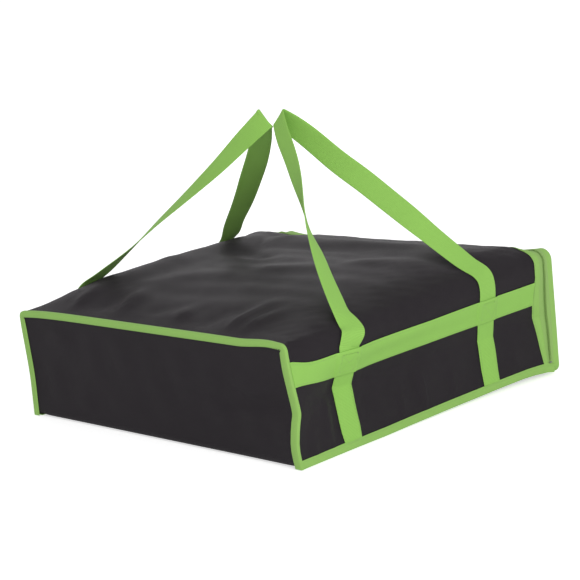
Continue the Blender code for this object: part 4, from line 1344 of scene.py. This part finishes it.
studio = {
    "floorSize": 30.0, "floorColour": 0.82, "floorGlow": 0.4, "bounce": 0.2, "world": 0.62,
    # each lamp's place, target, size and power
    "back_light": ((1.6, 1.7, 0.62), (0, 0, 0.12), 1.2, 3.5),
    "key_light": ((-1.1, -2.2, 1.3), (0, 0, 0.1), 0.9, 23.5),
    # the camera that was fitted to the photograph: place, and yaw, pitch and roll in degrees
    "lens": 136.55, "place": (-1767.3 * mm, -1825.3 * mm, 674.2 * mm), "turn": (-44.123, 12.151, -4.929),
}


def makeFloor():
    reach = studio["floorSize"]
    steps = np.linspace(-reach, reach, 3)
    x, y = np.meshgrid(steps, steps, indexing="ij")
    quads, _ = gridFaces(3, 3)
    mesh = bpy.data.meshes.new("studio_floor")
    mesh.from_pydata(np.stack([x, y, 0 * x - 0.4 * mm], -1).reshape(-1, 3).tolist(), [], quads.tolist())
    floor = bpy.data.objects.new("studio_floor", mesh)
    bpy.context.scene.collection.objects.link(floor)
    material = bpy.data.materials.new("floorPaper")
    material.use_nodes = True
    tree = material.node_tree
    shader = tree.nodes["Principled BSDF"]
    path = tree.nodes.new("ShaderNodeLightPath")
    glow = maths(tree, "MULTIPLY_ADD", path.outputs["Is Camera Ray"], studio["floorGlow"], studio["bounce"])
    fill(tree, shader, {"Base Color": (studio["floorColour"],) * 3 + (1,), "Roughness": 0.9,
                        "Emission Color": (1, 1, 1, 1), "Emission Strength": glow})
    mesh.materials.append(material)


def makeWorld():
    world = bpy.data.worlds.new("studio")
    bpy.context.scene.world = world
    world.use_nodes = True
    tree = world.node_tree
    path = tree.nodes.new("ShaderNodeLightPath")
    seen = maths(tree, "MAXIMUM", path.outputs["Is Camera Ray"], path.outputs["Is Transmission Ray"])
    strength = maths(tree, "MULTIPLY_ADD", seen, 1 - studio["world"], studio["world"])
    fill(tree, tree.nodes["Background"], {"Color": (1, 1, 1, 1), "Strength": strength})


def addLamp(name, place, target, size, power):
    lamp = bpy.data.lights.new(name, "AREA")
    lamp.size = size
    lamp.energy = power
    holder = bpy.data.objects.new(name, lamp)
    away = unit(np.array(place, float) - np.array(target, float))
    right = unit(np.cross([0, 0.01, 1], away))
    up = np.cross(away, right)
    turn = Matrix(np.stack([right, up, away], -1).tolist()).to_4x4()
    turn.translation = place
    holder.matrix_world = turn
    bpy.context.scene.collection.objects.link(holder)


def makeCamera():
    yaw, pitch, roll = (angle * degree for angle in studio["turn"])
    back = np.array([math.sin(yaw) * math.cos(pitch), -math.cos(yaw) * math.cos(pitch), math.sin(pitch)])
    level = unit(np.cross([0, 0, 1], back))
    rise = np.cross(back, level)
    right = math.cos(roll) * level + math.sin(roll) * rise
    up = -math.sin(roll) * level + math.cos(roll) * rise
    lens = bpy.data.cameras.new("camera")
    lens.lens = studio["lens"]
    lens.sensor_width = 36
    lens.clip_end = 20
    camera = bpy.data.objects.new("camera", lens)
    turn = Matrix(np.stack([right, up, back], -1).tolist()).to_4x4()
    turn.translation = studio["place"]
    camera.matrix_world = turn
    bpy.context.scene.collection.objects.link(camera)
    bpy.context.scene.camera = camera


makeFloor()
makeWorld()
for lampName in ("back_light", "key_light"):
    addLamp(lampName, *studio[lampName])
makeCamera()
bpy.context.scene.view_settings.view_transform = "Standard"
print("studio made")
